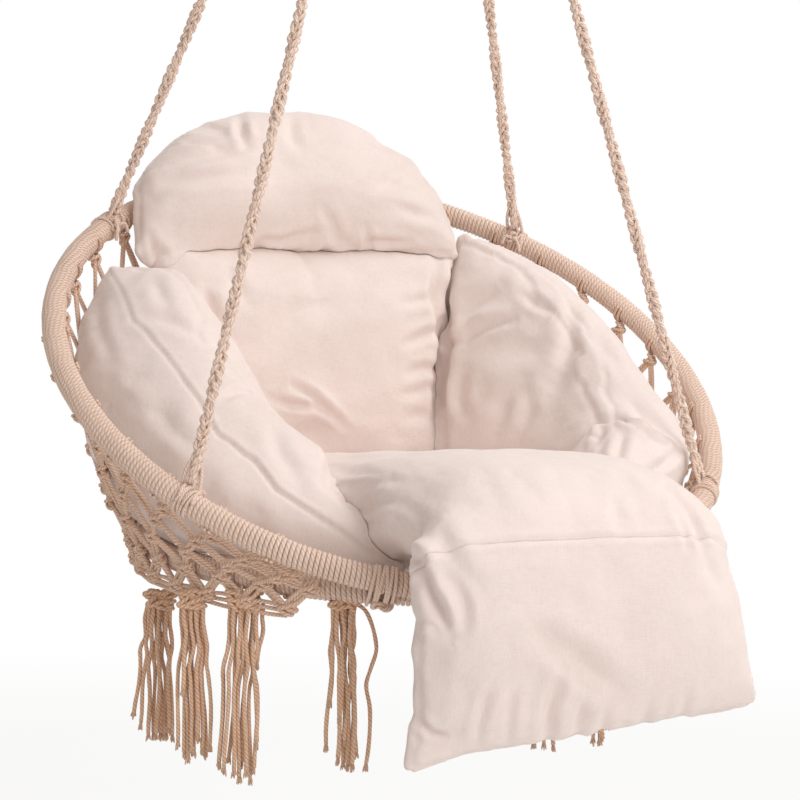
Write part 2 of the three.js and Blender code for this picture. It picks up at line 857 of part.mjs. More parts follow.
const headPad = {
  across: 12,
  along: 8,
  halfThickness: headHalfThickness,
  middleAt: (u, v) => {
    const share = (v + 1) / 2;
    const drop = (u < 0 ? headShoulderDrops.left : headShoulderDrops.right) * Math.abs(u) ** 2.6 * share;
    const flare = headFootFlare * Math.min(u, 0) * (1 - share);
    const lean = mix(headFootSetback, headTopSetback, share) - backCurve * u * u;
    return v3(headSideShift + headHalfWidth * u + flare, lean, mix(headFootLevel, headTopLevel, share) - drop);
  },
  crownAt: (u, v) => crown(u, 3) * crown(v, 2.6),
};

// The value at a share of the way through a table of evenly spaced shares
function tableAt(shares, share) {
  const place = THREE.MathUtils.clamp(share, 0, 1) * (shares.length - 1);
  const low = Math.min(Math.floor(place), shares.length - 2);
  return mix(shares[low], shares[low + 1], place - low);
}

function sidePad(name, mirror) {
  const innerFace = mirror > 0 ? 1 : 0;
  return {
    across: 14,
    along: 8,
    halfThickness: sideHalfThickness,
    middleAt: (u, v) => {
      const share = (u + 1) / 2;
      const rise = tableAt(sideRiseShares[name], share);
      const inset = sideRimInset * tableAt(sideInsetShares[name], share);
      const rimAngle = mix(sideRimStarts[name], sideEnd, share);
      const footAngle = mix(sideFootStart, sideEnd, share);
      const rim = bigPoint(rimAngle);
      const foot = smallPoint(footAngle);
      rim.addScaledVector(outward(rimAngle), -inset).addScaledVector(up, sideRimRise * rise);
      foot.addScaledVector(outward(footAngle), -sideFootInset).addScaledVector(up, sideFootRise);
      const point = foot.lerp(rim, (v + 1) / 2);
      return v3(mirror * point.x, point.y, point.z);
    },
    crownAt: (u, v, face) => {
      const shares = face === innerFace ? sideInnerShares[name] : sideOuterShares[name];
      return crown(u, 3) * crown(v, 3) * tableAt(shares, (u + 1) / 2);
    },
  };
}

const ringSpaces = [ringSolid(bigPoint, spaceSection, bigRingSteps), ringSolid(smallPoint, spaceSection, smallRingSteps)].map(toManifold);
const footAngles = [ropeFrontAngle, Math.PI - ropeFrontAngle, ropeBackAngle, Math.PI - ropeBackAngle];
const lashingSpaces = [
  ...footAngles.map(footLashingSpace),
  ringLashingSpace(ringLashingAngle),
  ringLashingSpace(Math.PI - ringLashingAngle),
].map(toManifold);
const ropeSpaces = [-1, 1].map((side) => toManifold(tubeSolid(ropePath(side, clearance), ropeRadius + clearance, 8)));
const netSpaces = [wallSpace(), seatFloorSpace()].map(toManifold);
const hardSpaces = [...ringSpaces, ...lashingSpaces, ...ropeSpaces, ...netSpaces];
const grownPad = (spec) => toManifold(padSolid(spec, padClearance));

// The big ring as the head pillow meets it while it folds forward about its front seam
function headFoldSpaces() {
  const seam = v3(0, headFootSetback - headHalfThickness, headFootLevel);
  return headFoldShares.map((share) => {
    const turned = ringSolid(bigPoint, spaceSection, bigRingSteps);
    turned.translate(-seam.x, -seam.y, -seam.z);
    turned.rotateX(-share * headFoldSweep);
    turned.translate(seam.x, seam.y, seam.z);
    return toManifold(turned);
  });
}

const finishes = {
  steel: { color: 0x8f8d88, roughness: 0.35, metalness: 0.9 },
  wrap: { color: 0xc9ab93, roughness: 0.9, metalness: 0 },
  rope: { color: 0xd8bfae, roughness: 0.9, metalness: 0 },
  linen: { color: 0xe6d0c4, roughness: 0.95, metalness: 0 },
};

const chair = new THREE.Group();
chair.position.set(0, hangSetback, -hangHeight);

function place(parent, name, geometry, finish) {
  const mesh = new THREE.Mesh(geometry, new THREE.MeshStandardMaterial(finishes[finish]));
  mesh.name = name;
  parent.add(mesh);
  return mesh;
}

const model = new THREE.Group();
const hangGeometry = new THREE.TorusGeometry(hangRingRadius, hangWireRadius, 8, 24);
hangGeometry.rotateX(Math.PI / 2);
const hangRing = place(model, 'hanging_ring', hangGeometry, 'steel');
hangRing.position.set(0, 0, -hangCentreDrop);
model.add(chair);

for (const [name, side] of [['left', -1], ['right', 1]]) {
  place(chair, `rope_${name}`, tubeSolid(ropePath(side, 0), ropeRadius, 8), 'rope');
  const feet = [['front', ropeFrontAngle], ['back', ropeBackAngle]];
  for (const [end, angle] of feet) {
    const label = `rope_lashing_${end}_${name}`;
    place(chair, label, coilSolid(label, mirrorPath(footLashingPath(angle), side)), 'rope');
  }
  const label = `ring_lashing_${name}`;
  place(chair, label, coilSolid(label, mirrorPath(ringLashingPath(ringLashingAngle), side)), 'rope');
}

place(chair, 'big_ring_tube', ringSolid(bigPoint, steelSection, bigRingSteps), 'steel');
place(chair, 'big_ring_wrap', ringSolid(bigPoint, wrapSection, bigRingSteps), 'wrap');
place(chair, 'small_ring_tube', ringSolid(smallPoint, steelSection, smallRingSteps), 'steel');
place(chair, 'small_ring_wrap', ringSolid(smallPoint, wrapSection, smallRingSteps), 'wrap');

const knotSize = { width: netKnotHalfWidth, height: netKnotHalfHeight, thickness: netHalfThickness };
place(chair, 'back_net', latticeSolid(netKnot, netColumns, netLevels, false, knotSize), 'rope');
place(chair, 'seat_net', latticeSolid(seatKnot, seatNetColumns, seatNetLevels, true, knotSize), 'rope');

const tassels = [
  ...tasselNetColumns.map((c, i) => tasselSolid(netKnot(c, netLevels), netKnotHalfHeight + clearance, tasselNetLengths[i])),
  ...tasselRingAngles.map((a, i) => tasselSolid(smallLine(a), wrapRadius, tasselRingLengths[i])),
];
tassels.forEach((tassel, i) => {
  place(chair, `tassel_${i + 1}`, tassel, 'rope');
});

const leftPad = sidePad('left', 1);
const rightPad = sidePad('right', -1);
place(chair, 'seat_cushion', cutBy(padSolid(seatPad, 0), hardSpaces), 'linen');
// The seat's end, moved a little straight on, up and down, so that the flap meets it with play all round
const seatEndSpaces = [-Math.PI / 4, 0, Math.PI / 4].map((turn) => {
  const play = seatProfile.getTangent(1).applyAxisAngle(v3(1, 0, 0), turn).multiplyScalar(padClearance * 1.1);
  return toManifold(padSolid(seatPad, 0)).translate(play.toArray());
});
const flapCutters = [...hardSpaces, grownPad(seatPad), ...seatEndSpaces];
place(chair, 'leg_flap', cutBy(padSolid(flapPad, 0), flapCutters), 'linen');
place(chair, 'back_cushion', cutBy(padSolid(backPad, 0), [...hardSpaces, grownPad(seatPad)]), 'linen');
const sideCutters = [...hardSpaces, grownPad(seatPad), grownPad(backPad), grownPad(flapPad)];
place(chair, 'side_cushion_left', cutBy(padSolid(leftPad, 0), sideCutters), 'linen');
place(chair, 'side_cushion_right', cutBy(padSolid(rightPad, 0), sideCutters), 'linen');
const headCutters = [...hardSpaces, ...headFoldSpaces(), grownPad(backPad), grownPad(leftPad), grownPad(rightPad)];
place(chair, 'head_pillow', cutBy(padSolid(headPad, 0), headCutters), 'linen');

export default model;
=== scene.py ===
"""Hanging hammock chair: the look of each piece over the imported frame.

Metres, +Z up, the chair faces -Y, origin where the hanging ring bears on its hook.
"""
import math

import bmesh
import bpy
import numpy as np
from mathutils import Matrix, Vector, kdtree, noise
from mathutils.bvhtree import BVHTree


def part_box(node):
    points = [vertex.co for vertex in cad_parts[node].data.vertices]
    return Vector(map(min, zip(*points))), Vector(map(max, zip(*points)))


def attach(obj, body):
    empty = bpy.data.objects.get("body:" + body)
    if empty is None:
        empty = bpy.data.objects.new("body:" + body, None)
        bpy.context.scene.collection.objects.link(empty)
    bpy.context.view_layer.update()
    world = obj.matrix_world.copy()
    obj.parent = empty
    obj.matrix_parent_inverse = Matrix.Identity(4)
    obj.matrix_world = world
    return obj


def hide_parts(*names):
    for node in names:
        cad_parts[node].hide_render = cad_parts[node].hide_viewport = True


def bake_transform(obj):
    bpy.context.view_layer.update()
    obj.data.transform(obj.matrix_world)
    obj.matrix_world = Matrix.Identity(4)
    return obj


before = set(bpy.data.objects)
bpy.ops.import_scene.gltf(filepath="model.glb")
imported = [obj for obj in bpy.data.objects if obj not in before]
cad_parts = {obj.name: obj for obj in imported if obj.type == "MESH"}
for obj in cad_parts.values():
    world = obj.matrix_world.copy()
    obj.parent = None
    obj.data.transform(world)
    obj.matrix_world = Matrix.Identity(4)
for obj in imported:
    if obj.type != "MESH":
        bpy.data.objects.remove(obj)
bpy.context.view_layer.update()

# Driving sizes, as the frame has them
RING_CENTRE = np.array([0.0, 0.019, -1.022])
BIG_RADIUS = 0.386
BIG_TILT = math.radians(33.1)
SMALL_RADIUS = 0.279
SMALL_TILT = math.radians(3)
CONTACT_ANGLE = math.radians(-12.5)
WRAP_RADIUS = 0.0136
CLEARANCE = 0.0003
HANG_RING_RADIUS = 0.034
HANG_WIRE_RADIUS = 0.004
ROPE_RADIUS = 0.0065
ROPE_SPACING = 0.014
ROPE_EYE_PLAY = 0.0022
ROPE_FRONT = math.radians(217.7)
ROPE_BACK = math.radians(135)
RING_LASHING = math.radians(251)
NET_HALF_SWEEP = math.radians(143)
NET_FOOT_SHARE = 0.98
NET_COLUMNS = 28
NET_LEVELS = 5
NET_BULGE = 0.008
BAND_DROP = 0.024
BAND_FLARE = -0.007
NET_KNOT = 0.007
NET_HALF_THICK = 0.0025
KNOT_KEEP = 0.020

# Cords and cord sizes
STRANDS = 3
WIND_CORD = 0.0026
WIND_PITCH = 0.0053
WIND_BREADTH = 1.06
NET_CORD = 0.0023
LOOP_CORD = 0.0019
LOOP_SHIFT = 0.0027
LOOP_LIFT = 0.0014
FRINGE_CORD = 0.0023
FRINGE_COUNT = 10

# Camera at the photograph's place
CAM_AT = np.array([-0.9968, -2.2532, -0.8919])
CAM_RIGHT = np.array([0.914, -0.4042, 0.0336])
CAM_UP = np.array([-0.0032, 0.0756, 0.9971])
CAM_FWD = np.array([0.4056, 0.9115, -0.0678])
CAM_F = 2162.21
IMAGE = 800


def unit(v):
    return v / np.linalg.norm(v)


def make_camera():
    data = bpy.data.cameras.new("camera")
    data.sensor_width = 36
    data.lens = CAM_F / IMAGE * 36
    data.clip_end = 100
    cam = bpy.data.objects.new("camera", data)
    fwd = unit(CAM_FWD)
    right = unit(CAM_RIGHT - fwd * CAM_RIGHT.dot(fwd))
    up = np.cross(right, fwd)
    m = Matrix.Identity(4)
    for i in range(3):
        m[i][0], m[i][1], m[i][2], m[i][3] = right[i], up[i], -fwd[i], CAM_AT[i]
    cam.matrix_world = m
    bpy.context.scene.collection.objects.link(cam)
    bpy.context.scene.camera = cam


def to_pixel(points):
    """Where points in the frame fall in the photograph, and how deep they lie."""
    d = np.atleast_2d(points) - CAM_AT
    depth = d @ CAM_FWD
    u = IMAGE / 2 + CAM_F * (d @ CAM_RIGHT) / depth
    v = IMAGE / 2 - CAM_F * (d @ CAM_UP) / depth
    return np.stack([u, v], 1), depth


def at_pixel(u, v, depth):
    """The place at a pixel of the photograph and a depth."""
    return CAM_AT + depth * (CAM_FWD + (u - IMAGE / 2) / CAM_F * CAM_RIGHT - (v - IMAGE / 2) / CAM_F * CAM_UP)


# Ring lines
def big_point(a):
    a = np.asarray(a, float)
    deep = BIG_RADIUS * np.sin(a)
    p = np.stack([BIG_RADIUS * np.cos(a), deep * math.cos(BIG_TILT), deep * math.sin(BIG_TILT)], -1)
    return p + RING_CENTRE


REACH = WRAP_RADIUS * 2 + CLEARANCE
SMALL_CENTRE = big_point(-math.pi / 2) + np.array(
    [
        0,
        REACH * math.cos(CONTACT_ANGLE) + SMALL_RADIUS * math.cos(SMALL_TILT),
        REACH * math.sin(CONTACT_ANGLE) + SMALL_RADIUS * math.sin(SMALL_TILT),
    ]
)


def small_point(a):
    a = np.asarray(a, float)
    deep = SMALL_RADIUS * np.sin(a)
    p = np.stack([SMALL_RADIUS * np.cos(a), deep * math.cos(SMALL_TILT), deep * math.sin(SMALL_TILT)], -1)
    return p + SMALL_CENTRE


def outward(a):
    a = np.asarray(a, float)
    return np.stack([np.cos(a), np.sin(a), np.zeros_like(a)], -1)


def ring_frame(point_at, a):
    """Centre, tangent, outward side and third direction of a ring at angles a."""
    a = np.asarray(a, float)
    step = 1e-4
    c = point_at(a)
    t = point_at(a + step) - point_at(a - step)
    t /= np.linalg.norm(t, axis=-1, keepdims=True)
    o = outward(a)
    s = o - t * np.sum(o * t, -1, keepdims=True)
    s /= np.linalg.norm(s, axis=-1, keepdims=True)
    return c, t, s, np.cross(t, s)


def mirrored(side, a):
    return a if side < 0 else math.pi - a


def new_object(name, data):
    ob = bpy.data.objects.new(name, data)
    bpy.context.scene.collection.objects.link(ob)
    return ob


# Swept cords, gathered into one mesh per piece
class Cords:
    def __init__(self):
        self.verts, self.faces, self.uvs, self.count = [], [], [], 0

    def add(self, rings, along, closed=False, lay=1.0):
        """rings is steps by sides by 3. along has each span's two ends, in cord diameters."""
        steps, sides = rings.shape[:2]
        base = self.count
        self.verts.append(rings.reshape(-1, 3))
        self.count += steps * sides
        spans = steps if closed else steps - 1
        i = np.arange(spans)[:, None]
        k = np.arange(sides)[None, :]
        j = (i + 1) % steps
        l = (k + 1) % sides
        quads = np.stack([i * sides + k, i * sides + l, j * sides + l, j * sides + k], -1)
        self.faces.extend((quads.reshape(-1, 4) + base).tolist())
        a0 = along[:-1, None] + 0 * k
        a1 = along[1:, None] + 0 * k
        v0 = (k / sides) + 0 * i
        v1 = ((k + 1) / sides) + 0 * i
        uv = np.stack([np.stack(corner, -1) for corner in ((a0, v0), (a0, v1), (a1, v1), (a1, v0))], 2)
        self.uvs.append(uv.reshape(-1, 2) * [lay, 1])
        if not closed:
            self.faces.append([base + k for k in range(sides)][::-1])
            self.faces.append([base + (steps - 1) * sides + k for k in range(sides)])
            self.uvs.append(np.zeros((sides * 2, 2)))

    def cord(self, path, radius, sides=6, closed=False, lay=1.0):
        """A round cord along path, with radius one number or one for each point."""
        path = np.asarray(path, float)
        n = len(path)
        if closed:
            t = np.roll(path, -1, 0) - np.roll(path, 1, 0)
        else:
            t = np.gradient(path, axis=0)
        t /= np.linalg.norm(t, axis=1, keepdims=True) + 1e-12
        seed = np.array([0.0, 0.0, 1.0]) if abs(t[0][2]) < 0.9 else np.array([0.0, 1.0, 0.0])
        s = unit(np.cross(seed, t[0]))
        side = np.empty_like(path)
        for i in range(n):
            s = s - t[i] * s.dot(t[i])
            s = s / (np.linalg.norm(s) + 1e-12)
            side[i] = s
        other = np.cross(t, side)
        if closed:
            # the frame turns back a little on each step, so that the end meets the start
            s_end = side[-1] - t[0] * side[-1].dot(t[0])
            gap = math.atan2(s_end.dot(other[0]), s_end.dot(side[0]))
            turn = -gap * np.arange(n) / n
        else:
            turn = np.zeros(n)
        ang = np.arange(sides) / sides * 2 * math.pi
        ang = ang[None, :] + turn[:, None]
        r = np.broadcast_to(np.asarray(radius, float), (n,))[:, None, None]
        rings = path[:, None, :] + r * (
            np.cos(ang)[:, :, None] * side[:, None, :] + np.sin(ang)[:, :, None] * other[:, None, :]
        )
        seg = np.linalg.norm(np.diff(path, axis=0), axis=1)
        along = np.concatenate([[0], np.cumsum(seg)]) / (2 * np.mean(radius))
        if closed:
            along = np.append(along, along[-1] + seg[-1] / (2 * np.mean(radius)))
        self.add(rings, along, closed, lay)

    def build(self, name, material):
        me = bpy.data.meshes.new(name)
        verts = np.concatenate(self.verts)
        me.from_pydata(verts.tolist(), [], self.faces)
        uv = me.uv_layers.new(name="lay")
        uv.data.foreach_set("uv", np.concatenate(self.uvs).ravel())
        me.polygons.foreach_set("use_smooth", [True] * len(me.polygons))
        me.materials.append(material)
        return new_object(name, me)


def finish_cords(cords, name, material, node, body="chair"):
    """The cords as one named piece that rides a body in place of a node."""
    ob = cords.build(name, material)
    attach(ob, body)
    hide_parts(node)
    return ob


# Materials
def new_material(name):
    m = bpy.data.materials.new(name)
    m.use_nodes = True
    t = m.node_tree
    t.nodes.clear()
    out = t.nodes.new("ShaderNodeOutputMaterial")
    b = t.nodes.new("ShaderNodeBsdfPrincipled")
    t.links.new(b.outputs[0], out.inputs[0])
    return m, t, b


class Nodes:
    """Short hands for building a node tree."""

    def __init__(self, tree):
        self.t = tree

    def put(self, kind, **inputs):
        n = self.t.nodes.new(kind)
        for key, value in inputs.items():
            if hasattr(n, key) and key not in n.inputs:
                setattr(n, key, value)
                continue
            socket = n.inputs[key]
            if isinstance(value, bpy.types.NodeSocket):
                self.t.links.new(value, socket)
            else:
                socket.default_value = value
        return n

    def bump(self, shader, height, strength, distance):
        n = self.put("ShaderNodeBump", Height=height, Strength=strength, Distance=distance)
        self.t.links.new(n.outputs[0], shader.inputs["Normal"])

    def math(self, op, a, b=None, clamp=False):
        n = self.t.nodes.new("ShaderNodeMath")
        n.operation = op
        n.use_clamp = clamp
        for i, value in enumerate([a, b]):
            if value is None:
                continue
            if isinstance(value, bpy.types.NodeSocket):
                self.t.links.new(value, n.inputs[i])
            else:
                n.inputs[i].default_value = value
        return n.outputs[0]

    def ramp(self, fac, stops):
        n = self.t.nodes.new("ShaderNodeValToRGB")
        el = n.color_ramp.elements
        while len(el) < len(stops):
            el.new(0.5)
        for e, (pos, col) in zip(el, stops):
            e.position = pos
            e.color = (*col, 1)
        self.t.links.new(fac, n.inputs[0])
        return n.outputs[0]

    def mix(self, fac, a, b, blend="MIX"):
        n = self.t.nodes.new("ShaderNodeMix")
        n.data_type = "RGBA"
        n.blend_type = blend
        for i, value in zip([0, 6, 7], [fac, a, b]):
            if isinstance(value, bpy.types.NodeSocket):
                self.t.links.new(value, n.inputs[i])
            else:
                n.inputs[i].default_value = value if i == 0 else (*value, 1)
        return n.outputs[2]

    def noise(self, vector, scale, detail=2.0, rough=0.5):
        n = self.t.nodes.new("ShaderNodeTexNoise")
        n.inputs["Scale"].default_value = scale
        n.inputs["Detail"].default_value = detail
        n.inputs["Roughness"].default_value = rough
        self.t.links.new(vector, n.inputs["Vector"])
        return n.outputs[0]

    def scaled(self, vector, scale):
        n = self.t.nodes.new("ShaderNodeMapping")
        n.inputs["Scale"].default_value = scale
        self.t.links.new(vector, n.inputs["Vector"])
        return n.outputs[0]


def srgb(r, g, b):
    def f(c):
        c /= 255
        return c / 12.92 if c <= 0.04045 else ((c + 0.055) / 1.055) ** 2.4

    return (f(r), f(g), f(b))


def set_cloth(shader, roughness, specular, sheen, sheen_roughness):
    shader.inputs["Roughness"].default_value = roughness
    shader.inputs["Specular IOR Level"].default_value = specular
    shader.inputs["Sheen Weight"].default_value = sheen
    shader.inputs["Sheen Roughness"].default_value = sheen_roughness


def cord_material(name, dark, mid, light, depth):
    """Twisted cotton cord: strands wind round the cord, with fine fibre, uneven dye, and painted shade in the
    grooves between the strands, lighter on their crests.
    """
    m, t, b = new_material(name)
    n = Nodes(t)
    uv = n.put("ShaderNodeUVMap", uv_map="lay")
    sep = n.put("ShaderNodeSeparateXYZ", Vector=uv.outputs[0])
    obj = n.put("ShaderNodeTexCoord").outputs["Object"]
    lengthwise = n.math("MULTIPLY", sep.outputs[0], 1.05)
    phase = n.math("ADD", lengthwise, n.math("MULTIPLY", sep.outputs[1], float(STRANDS)))
    wave = n.math("COSINE", n.math("MULTIPLY", phase, 2 * math.pi))
    ridge = n.math("POWER", n.math("ABSOLUTE", n.math("MULTIPLY", n.math("ADD", wave, 1.0), 0.5)), 0.6)
    fibre = n.noise(obj, 2600, 3.0, 0.7)
    blotch = n.noise(obj, 22, 3.0, 0.6)
    height = n.math("ADD", ridge, n.math("MULTIPLY", fibre, 0.35))
    # the strands' relief is painted into the colour: painted shade in the grooves and lighter crests; fibre
    # and uneven dye add their own tone
    tone = n.math("ADD", n.math("MULTIPLY", ridge, 0.55), n.math("MULTIPLY", fibre, 0.25))
    tone = n.math("ADD", tone, n.math("MULTIPLY", blotch, 0.3))
    col = n.ramp(tone, [(0.12, dark), (0.5, mid), (0.95, light)])
    t.links.new(col, b.inputs["Base Color"])
    n.bump(b, height, depth, 0.0009)
    set_cloth(b, roughness=0.9, specular=0.2, sheen=0.25, sheen_roughness=0.6)
    return m


def linen_material(name, base):
    """Washed linen: thread slubs both ways, soft mottling and a little sheen."""
    m, t, b = new_material(name)
    n = Nodes(t)
    obj = n.put("ShaderNodeTexCoord").outputs["Object"]
    warp = n.noise(n.scaled(obj, (1500, 110, 110)), 1.0, 2.0, 0.6)
    weft = n.noise(n.scaled(obj, (90, 1300, 1300)), 1.0, 2.0, 0.6)
    mottle = n.noise(obj, 9, 4.0, 0.55)
    soft = n.noise(obj, 2.4, 2.0, 0.5)
    thread = n.math("MULTIPLY", n.math("ADD", warp, weft), 0.5)
    tone = n.math("ADD", n.math("MULTIPLY", thread, 0.7), n.math("MULTIPLY", mottle, 0.3))
    r, g, bl = base
    dark = (r * 0.86, g * 0.84, bl * 0.82)
    light = (min(r * 1.07, 1), min(g * 1.07, 1), min(bl * 1.07, 1))
    col = n.ramp(tone, [(0.3, dark), (0.5, base), (0.72, light)])
    warm = n.mix(n.math("MULTIPLY", soft, 0.35, True), col, (r * 0.99, g * 0.95, bl * 0.92))
    t.links.new(warm, b.inputs["Base Color"])
    folds = n.noise(n.scaled(obj, (1, 1, 1.4)), 26, 3.0, 0.5)
    height = n.math("ADD", n.math("MULTIPLY", thread, 0.30), n.math("MULTIPLY", folds, 2.2))
    n.bump(b, height, 0.5, 0.0016)
    set_cloth(b, roughness=0.93, specular=0.15, sheen=0.3, sheen_roughness=0.5)
    return m


def steel_material(name, base, rough):
    m, t, b = new_material(name)
    n = Nodes(t)
    obj = n.put("ShaderNodeTexCoord").outputs["Object"]
    brushed = n.noise(n.scaled(obj, (90, 90, 900)), 1.0, 3.0, 0.6)
    wear = n.noise(obj, 60, 4.0, 0.6)
    col = n.mix(wear, tuple(c * 0.8 for c in base), base)
    t.links.new(col, b.inputs["Base Color"])
    b.inputs["Metallic"].default_value = 1.0
    rgh = n.math("ADD", n.math("MULTIPLY", brushed, 0.2), rough)
    t.links.new(rgh, b.inputs["Roughness"])
    n.bump(b, brushed, 0.15, 0.0003)
    return m


# each cord's dark colour is partly painted shade for the grooves between its strands
WRAP = cord_material("wound_cord", srgb(184, 150, 127), srgb(226, 198, 180), srgb(241, 219, 204), depth=0.3)
ROPE = cord_material("braid_cord", srgb(180, 144, 123), srgb(228, 201, 184), srgb(244, 225, 211), depth=0.4)
NET = cord_material("net_cord", srgb(166, 129, 103), srgb(222, 186, 161), srgb(241, 214, 193), depth=0.4)
FRINGE = cord_material("fringe_cord", srgb(162, 120, 90), srgb(215, 174, 143), srgb(238, 206, 178), depth=0.4)
LINEN = linen_material("washed_linen", srgb(236, 222, 216))
STEEL = steel_material("ring_steel", (0.62, 0.61, 0.59), 0.25)
PAINT = steel_material("tube_steel", (0.5, 0.47, 0.44), 0.4)

rng = np.random.default_rng(7)


# Wound rings
def wound_ring(name, point_at, radius, node):
    cords = Cords()
    turns = round(2 * math.pi * radius / WIND_PITCH)
    steps = 16
    n = turns * steps
    a = np.arange(n) / n * 2 * math.pi
    c, _, s, o = ring_frame(point_at, a)
    phase = a * turns
    wob = 1 + 0.010 * np.sin(a * 37 + 1.3) + 0.008 * np.sin(a * 91 + 0.4)
    mid = (WRAP_RADIUS - WIND_CORD) * wob
    radial = np.cos(phase)[:, None] * s + np.sin(phase)[:, None] * o
    path = c + mid[:, None] * radial
    tan = np.roll(path, -1, 0) - np.roll(path, 1, 0)
    tan /= np.linalg.norm(tan, axis=1, keepdims=True)
    across = np.cross(tan, radial)
    across /= np.linalg.norm(across, axis=1, keepdims=True)
    ang = np.arange(6) / 6 * 2 * math.pi
    rings = path[:, None, :] + WIND_CORD * (
        np.cos(ang)[None, :, None] * radial[:, None, :]
        + WIND_BREADTH * np.sin(ang)[None, :, None] * across[:, None, :]
    )
    seg = np.linalg.norm(np.diff(path, axis=0, append=path[:1]), axis=1)
    along = np.concatenate([[0], np.cumsum(seg)]) / (2 * WIND_CORD)
    cords.add(rings, along, closed=True)
    finish_cords(cords, name, WRAP, node)


# Ropes
EYE_DROP = HANG_RING_RADIUS - HANG_WIRE_RADIUS + math.sqrt(HANG_RING_RADIUS**2 - ROPE_SPACING**2)
EYE_RADIUS = HANG_WIRE_RADIUS + ROPE_RADIUS + ROPE_EYE_PLAY
FOOT_REACH = 0.0195


def rope_points(side):
    """Front foot, up over the hanging ring and down to the back foot."""
    eye = np.array([side * ROPE_SPACING, 0, -EYE_DROP])

    def leg(a, lean):
        neck = eye + [0, lean * EYE_RADIUS, 0]
        c = big_point(mirrored(side, a))
        foot = c + unit(neck - c) * FOOT_REACH
        return foot, neck

    front, front_neck = leg(ROPE_FRONT, -1)
    back, back_neck = leg(ROPE_BACK, 1)
    arc = [
        eye + [0, EYE_RADIUS * math.cos(w), EYE_RADIUS * math.sin(w)] for w in np.linspace(math.pi, 0, 13)
    ]
    up = [front + (front_neck - front) * s for s in np.linspace(0, 1, 24)[:-1]]
    down = [back_neck + (back - back_neck) * s for s in np.linspace(0, 1, 24)[1:]]
    return np.array(up + arc + down)


def resample(path, step):
    seg = np.linalg.norm(np.diff(path, axis=0), axis=1)
    s = np.concatenate([[0], np.cumsum(seg)])
    n = max(int(round(s[-1] / step)), 2)
    q = np.linspace(0, s[-1], n + 1)
    return np.stack([np.interp(q, s, path[:, i]) for i in range(3)], 1), q


BRAID_PERIOD = 0.034
BRAID_TURN = 0.075
BRAID_WIDTH = 0.0046
BRAID_DEPTH = 0.0021
BRAID_CORD = 0.0023
BRAID_PAIR = 0.00145
BRAID_FUZZ = 0.00008
EYE_SQUEEZE = 0.22
EYE_REACH = 0.022


def braided_rope(name, side, node):
    path = rope_points(side)
    pts, s = resample(path, BRAID_PERIOD / 14)
    # smooth the corners a little
    for _ in range(4):
        pts[1:-1] = (pts[:-2] + 2 * pts[1:-1] + pts[2:]) / 4
    t = np.gradient(pts, axis=0)
    t /= np.linalg.norm(t, axis=1, keepdims=True)
    sv = unit(np.cross(t[0], [1.0, 0, 0]))
    frames = []
    for i in range(len(pts)):
        sv = sv - t[i] * sv.dot(t[i])
        sv = unit(sv)
        frames.append(sv)
    f1 = np.array(frames)
    f2 = np.cross(t, f1)
    turn = s / BRAID_TURN * math.pi + 0.5 * np.sin(s / 0.21) + side
    e1 = np.cos(turn)[:, None] * f1 + np.sin(turn)[:, None] * f2
    e2 = -np.sin(turn)[:, None] * f1 + np.cos(turn)[:, None] * f2
    cords = Cords()
    theta = s / BRAID_PERIOD * 2 * math.pi
    length = s[-1]
    # the load presses the braid together where it passes over the hanging ring
    tight = 1 - EYE_SQUEEZE * np.exp(-(((s - length / 2) / EYE_REACH) ** 2))
    for k in range(3):
        w = theta + k * 2 * math.pi / 3
        x = tight * BRAID_WIDTH * np.sin(w)
        z = tight * BRAID_DEPTH * np.sin(2 * w)
        for pair in (-1, 1):
            off = BRAID_PAIR * pair
            xx = x + off * np.abs(np.cos(w)) * 0.7
            zz = z + off * 0.9
            p = pts + xx[:, None] * e1 + zz[:, None] * e2
            p += rng.normal(0, BRAID_FUZZ, p.shape)
            cords.cord(p, BRAID_CORD, 6, lay=0.8)
    return finish_cords(cords, name, ROPE, node), path, float(length)


make_camera()

wound_ring("big_ring_winding", big_point, BIG_RADIUS, "big_ring_wrap")
wound_ring("small_ring_winding", small_point, SMALL_RADIUS, "small_ring_wrap")

ropes = {}
for side_name, side in (("left", -1), ("right", 1)):
    ob, path, length = braided_rope(f"braid_{side_name}", side, f"rope_{side_name}")
    ropes[side_name] = (ob, path, length)


# Lashings: where a rope's cords are tied round the big ring
LASH_CORD = 0.0017
LASH_TURNS = [-0.0062, -0.0021, 0.0021, 0.0062]


def ring_turns(cords, point_at, a, shifts, radius, cord, seed):
    c, t, s, o = ring_frame(point_at, a)
    r = np.random.default_rng(seed)
    for shift in shifts:
        w = np.linspace(0, 2 * math.pi, 30)
        lean = r.uniform(-0.0015, 0.0015)
        turn = np.cos(w)[:, None] * s + np.sin(w)[:, None] * o
        p = c + t * (shift + lean * np.sin(w)[:, None]) + radius * turn
        cords.cord(p, cord, 7)


def trefoil(centre, ex, ey, ez, size, steps=34):
    w = np.linspace(0, 2 * math.pi, steps, endpoint=False)
    x = (np.sin(w) + 2 * np.sin(2 * w)) / 3
    y = (np.cos(w) - 2 * np.cos(2 * w)) / 3
    z = -np.sin(3 * w) / 3
    return centre + size * (x[:, None] * ex + y[:, None] * ey) + size * 0.9 * z[:, None] * ez


def bezier(points, steps):
    """A smooth line through points."""
    pts = np.asarray(points, float)
    d = np.linalg.norm(np.diff(pts, axis=0), axis=1)
    knots = np.concatenate([[0], np.cumsum(np.sqrt(d))])
    out = []
    grad = np.gradient(pts, knots, axis=0)
    for i in range(len(pts) - 1):
        h = knots[i + 1] - knots[i]
        for q in np.linspace(0, 1, steps, endpoint=(i == len(pts) - 2)):
            h00 = 2 * q**3 - 3 * q**2 + 1
            h10 = q**3 - 2 * q**2 + q
            h01 = -2 * q**3 + 3 * q**2
            h11 = q**3 - q**2
            out.append(h00 * pts[i] + h10 * h * grad[i] + h01 * pts[i + 1] + h11 * h * grad[i + 1])
    return np.array(out)


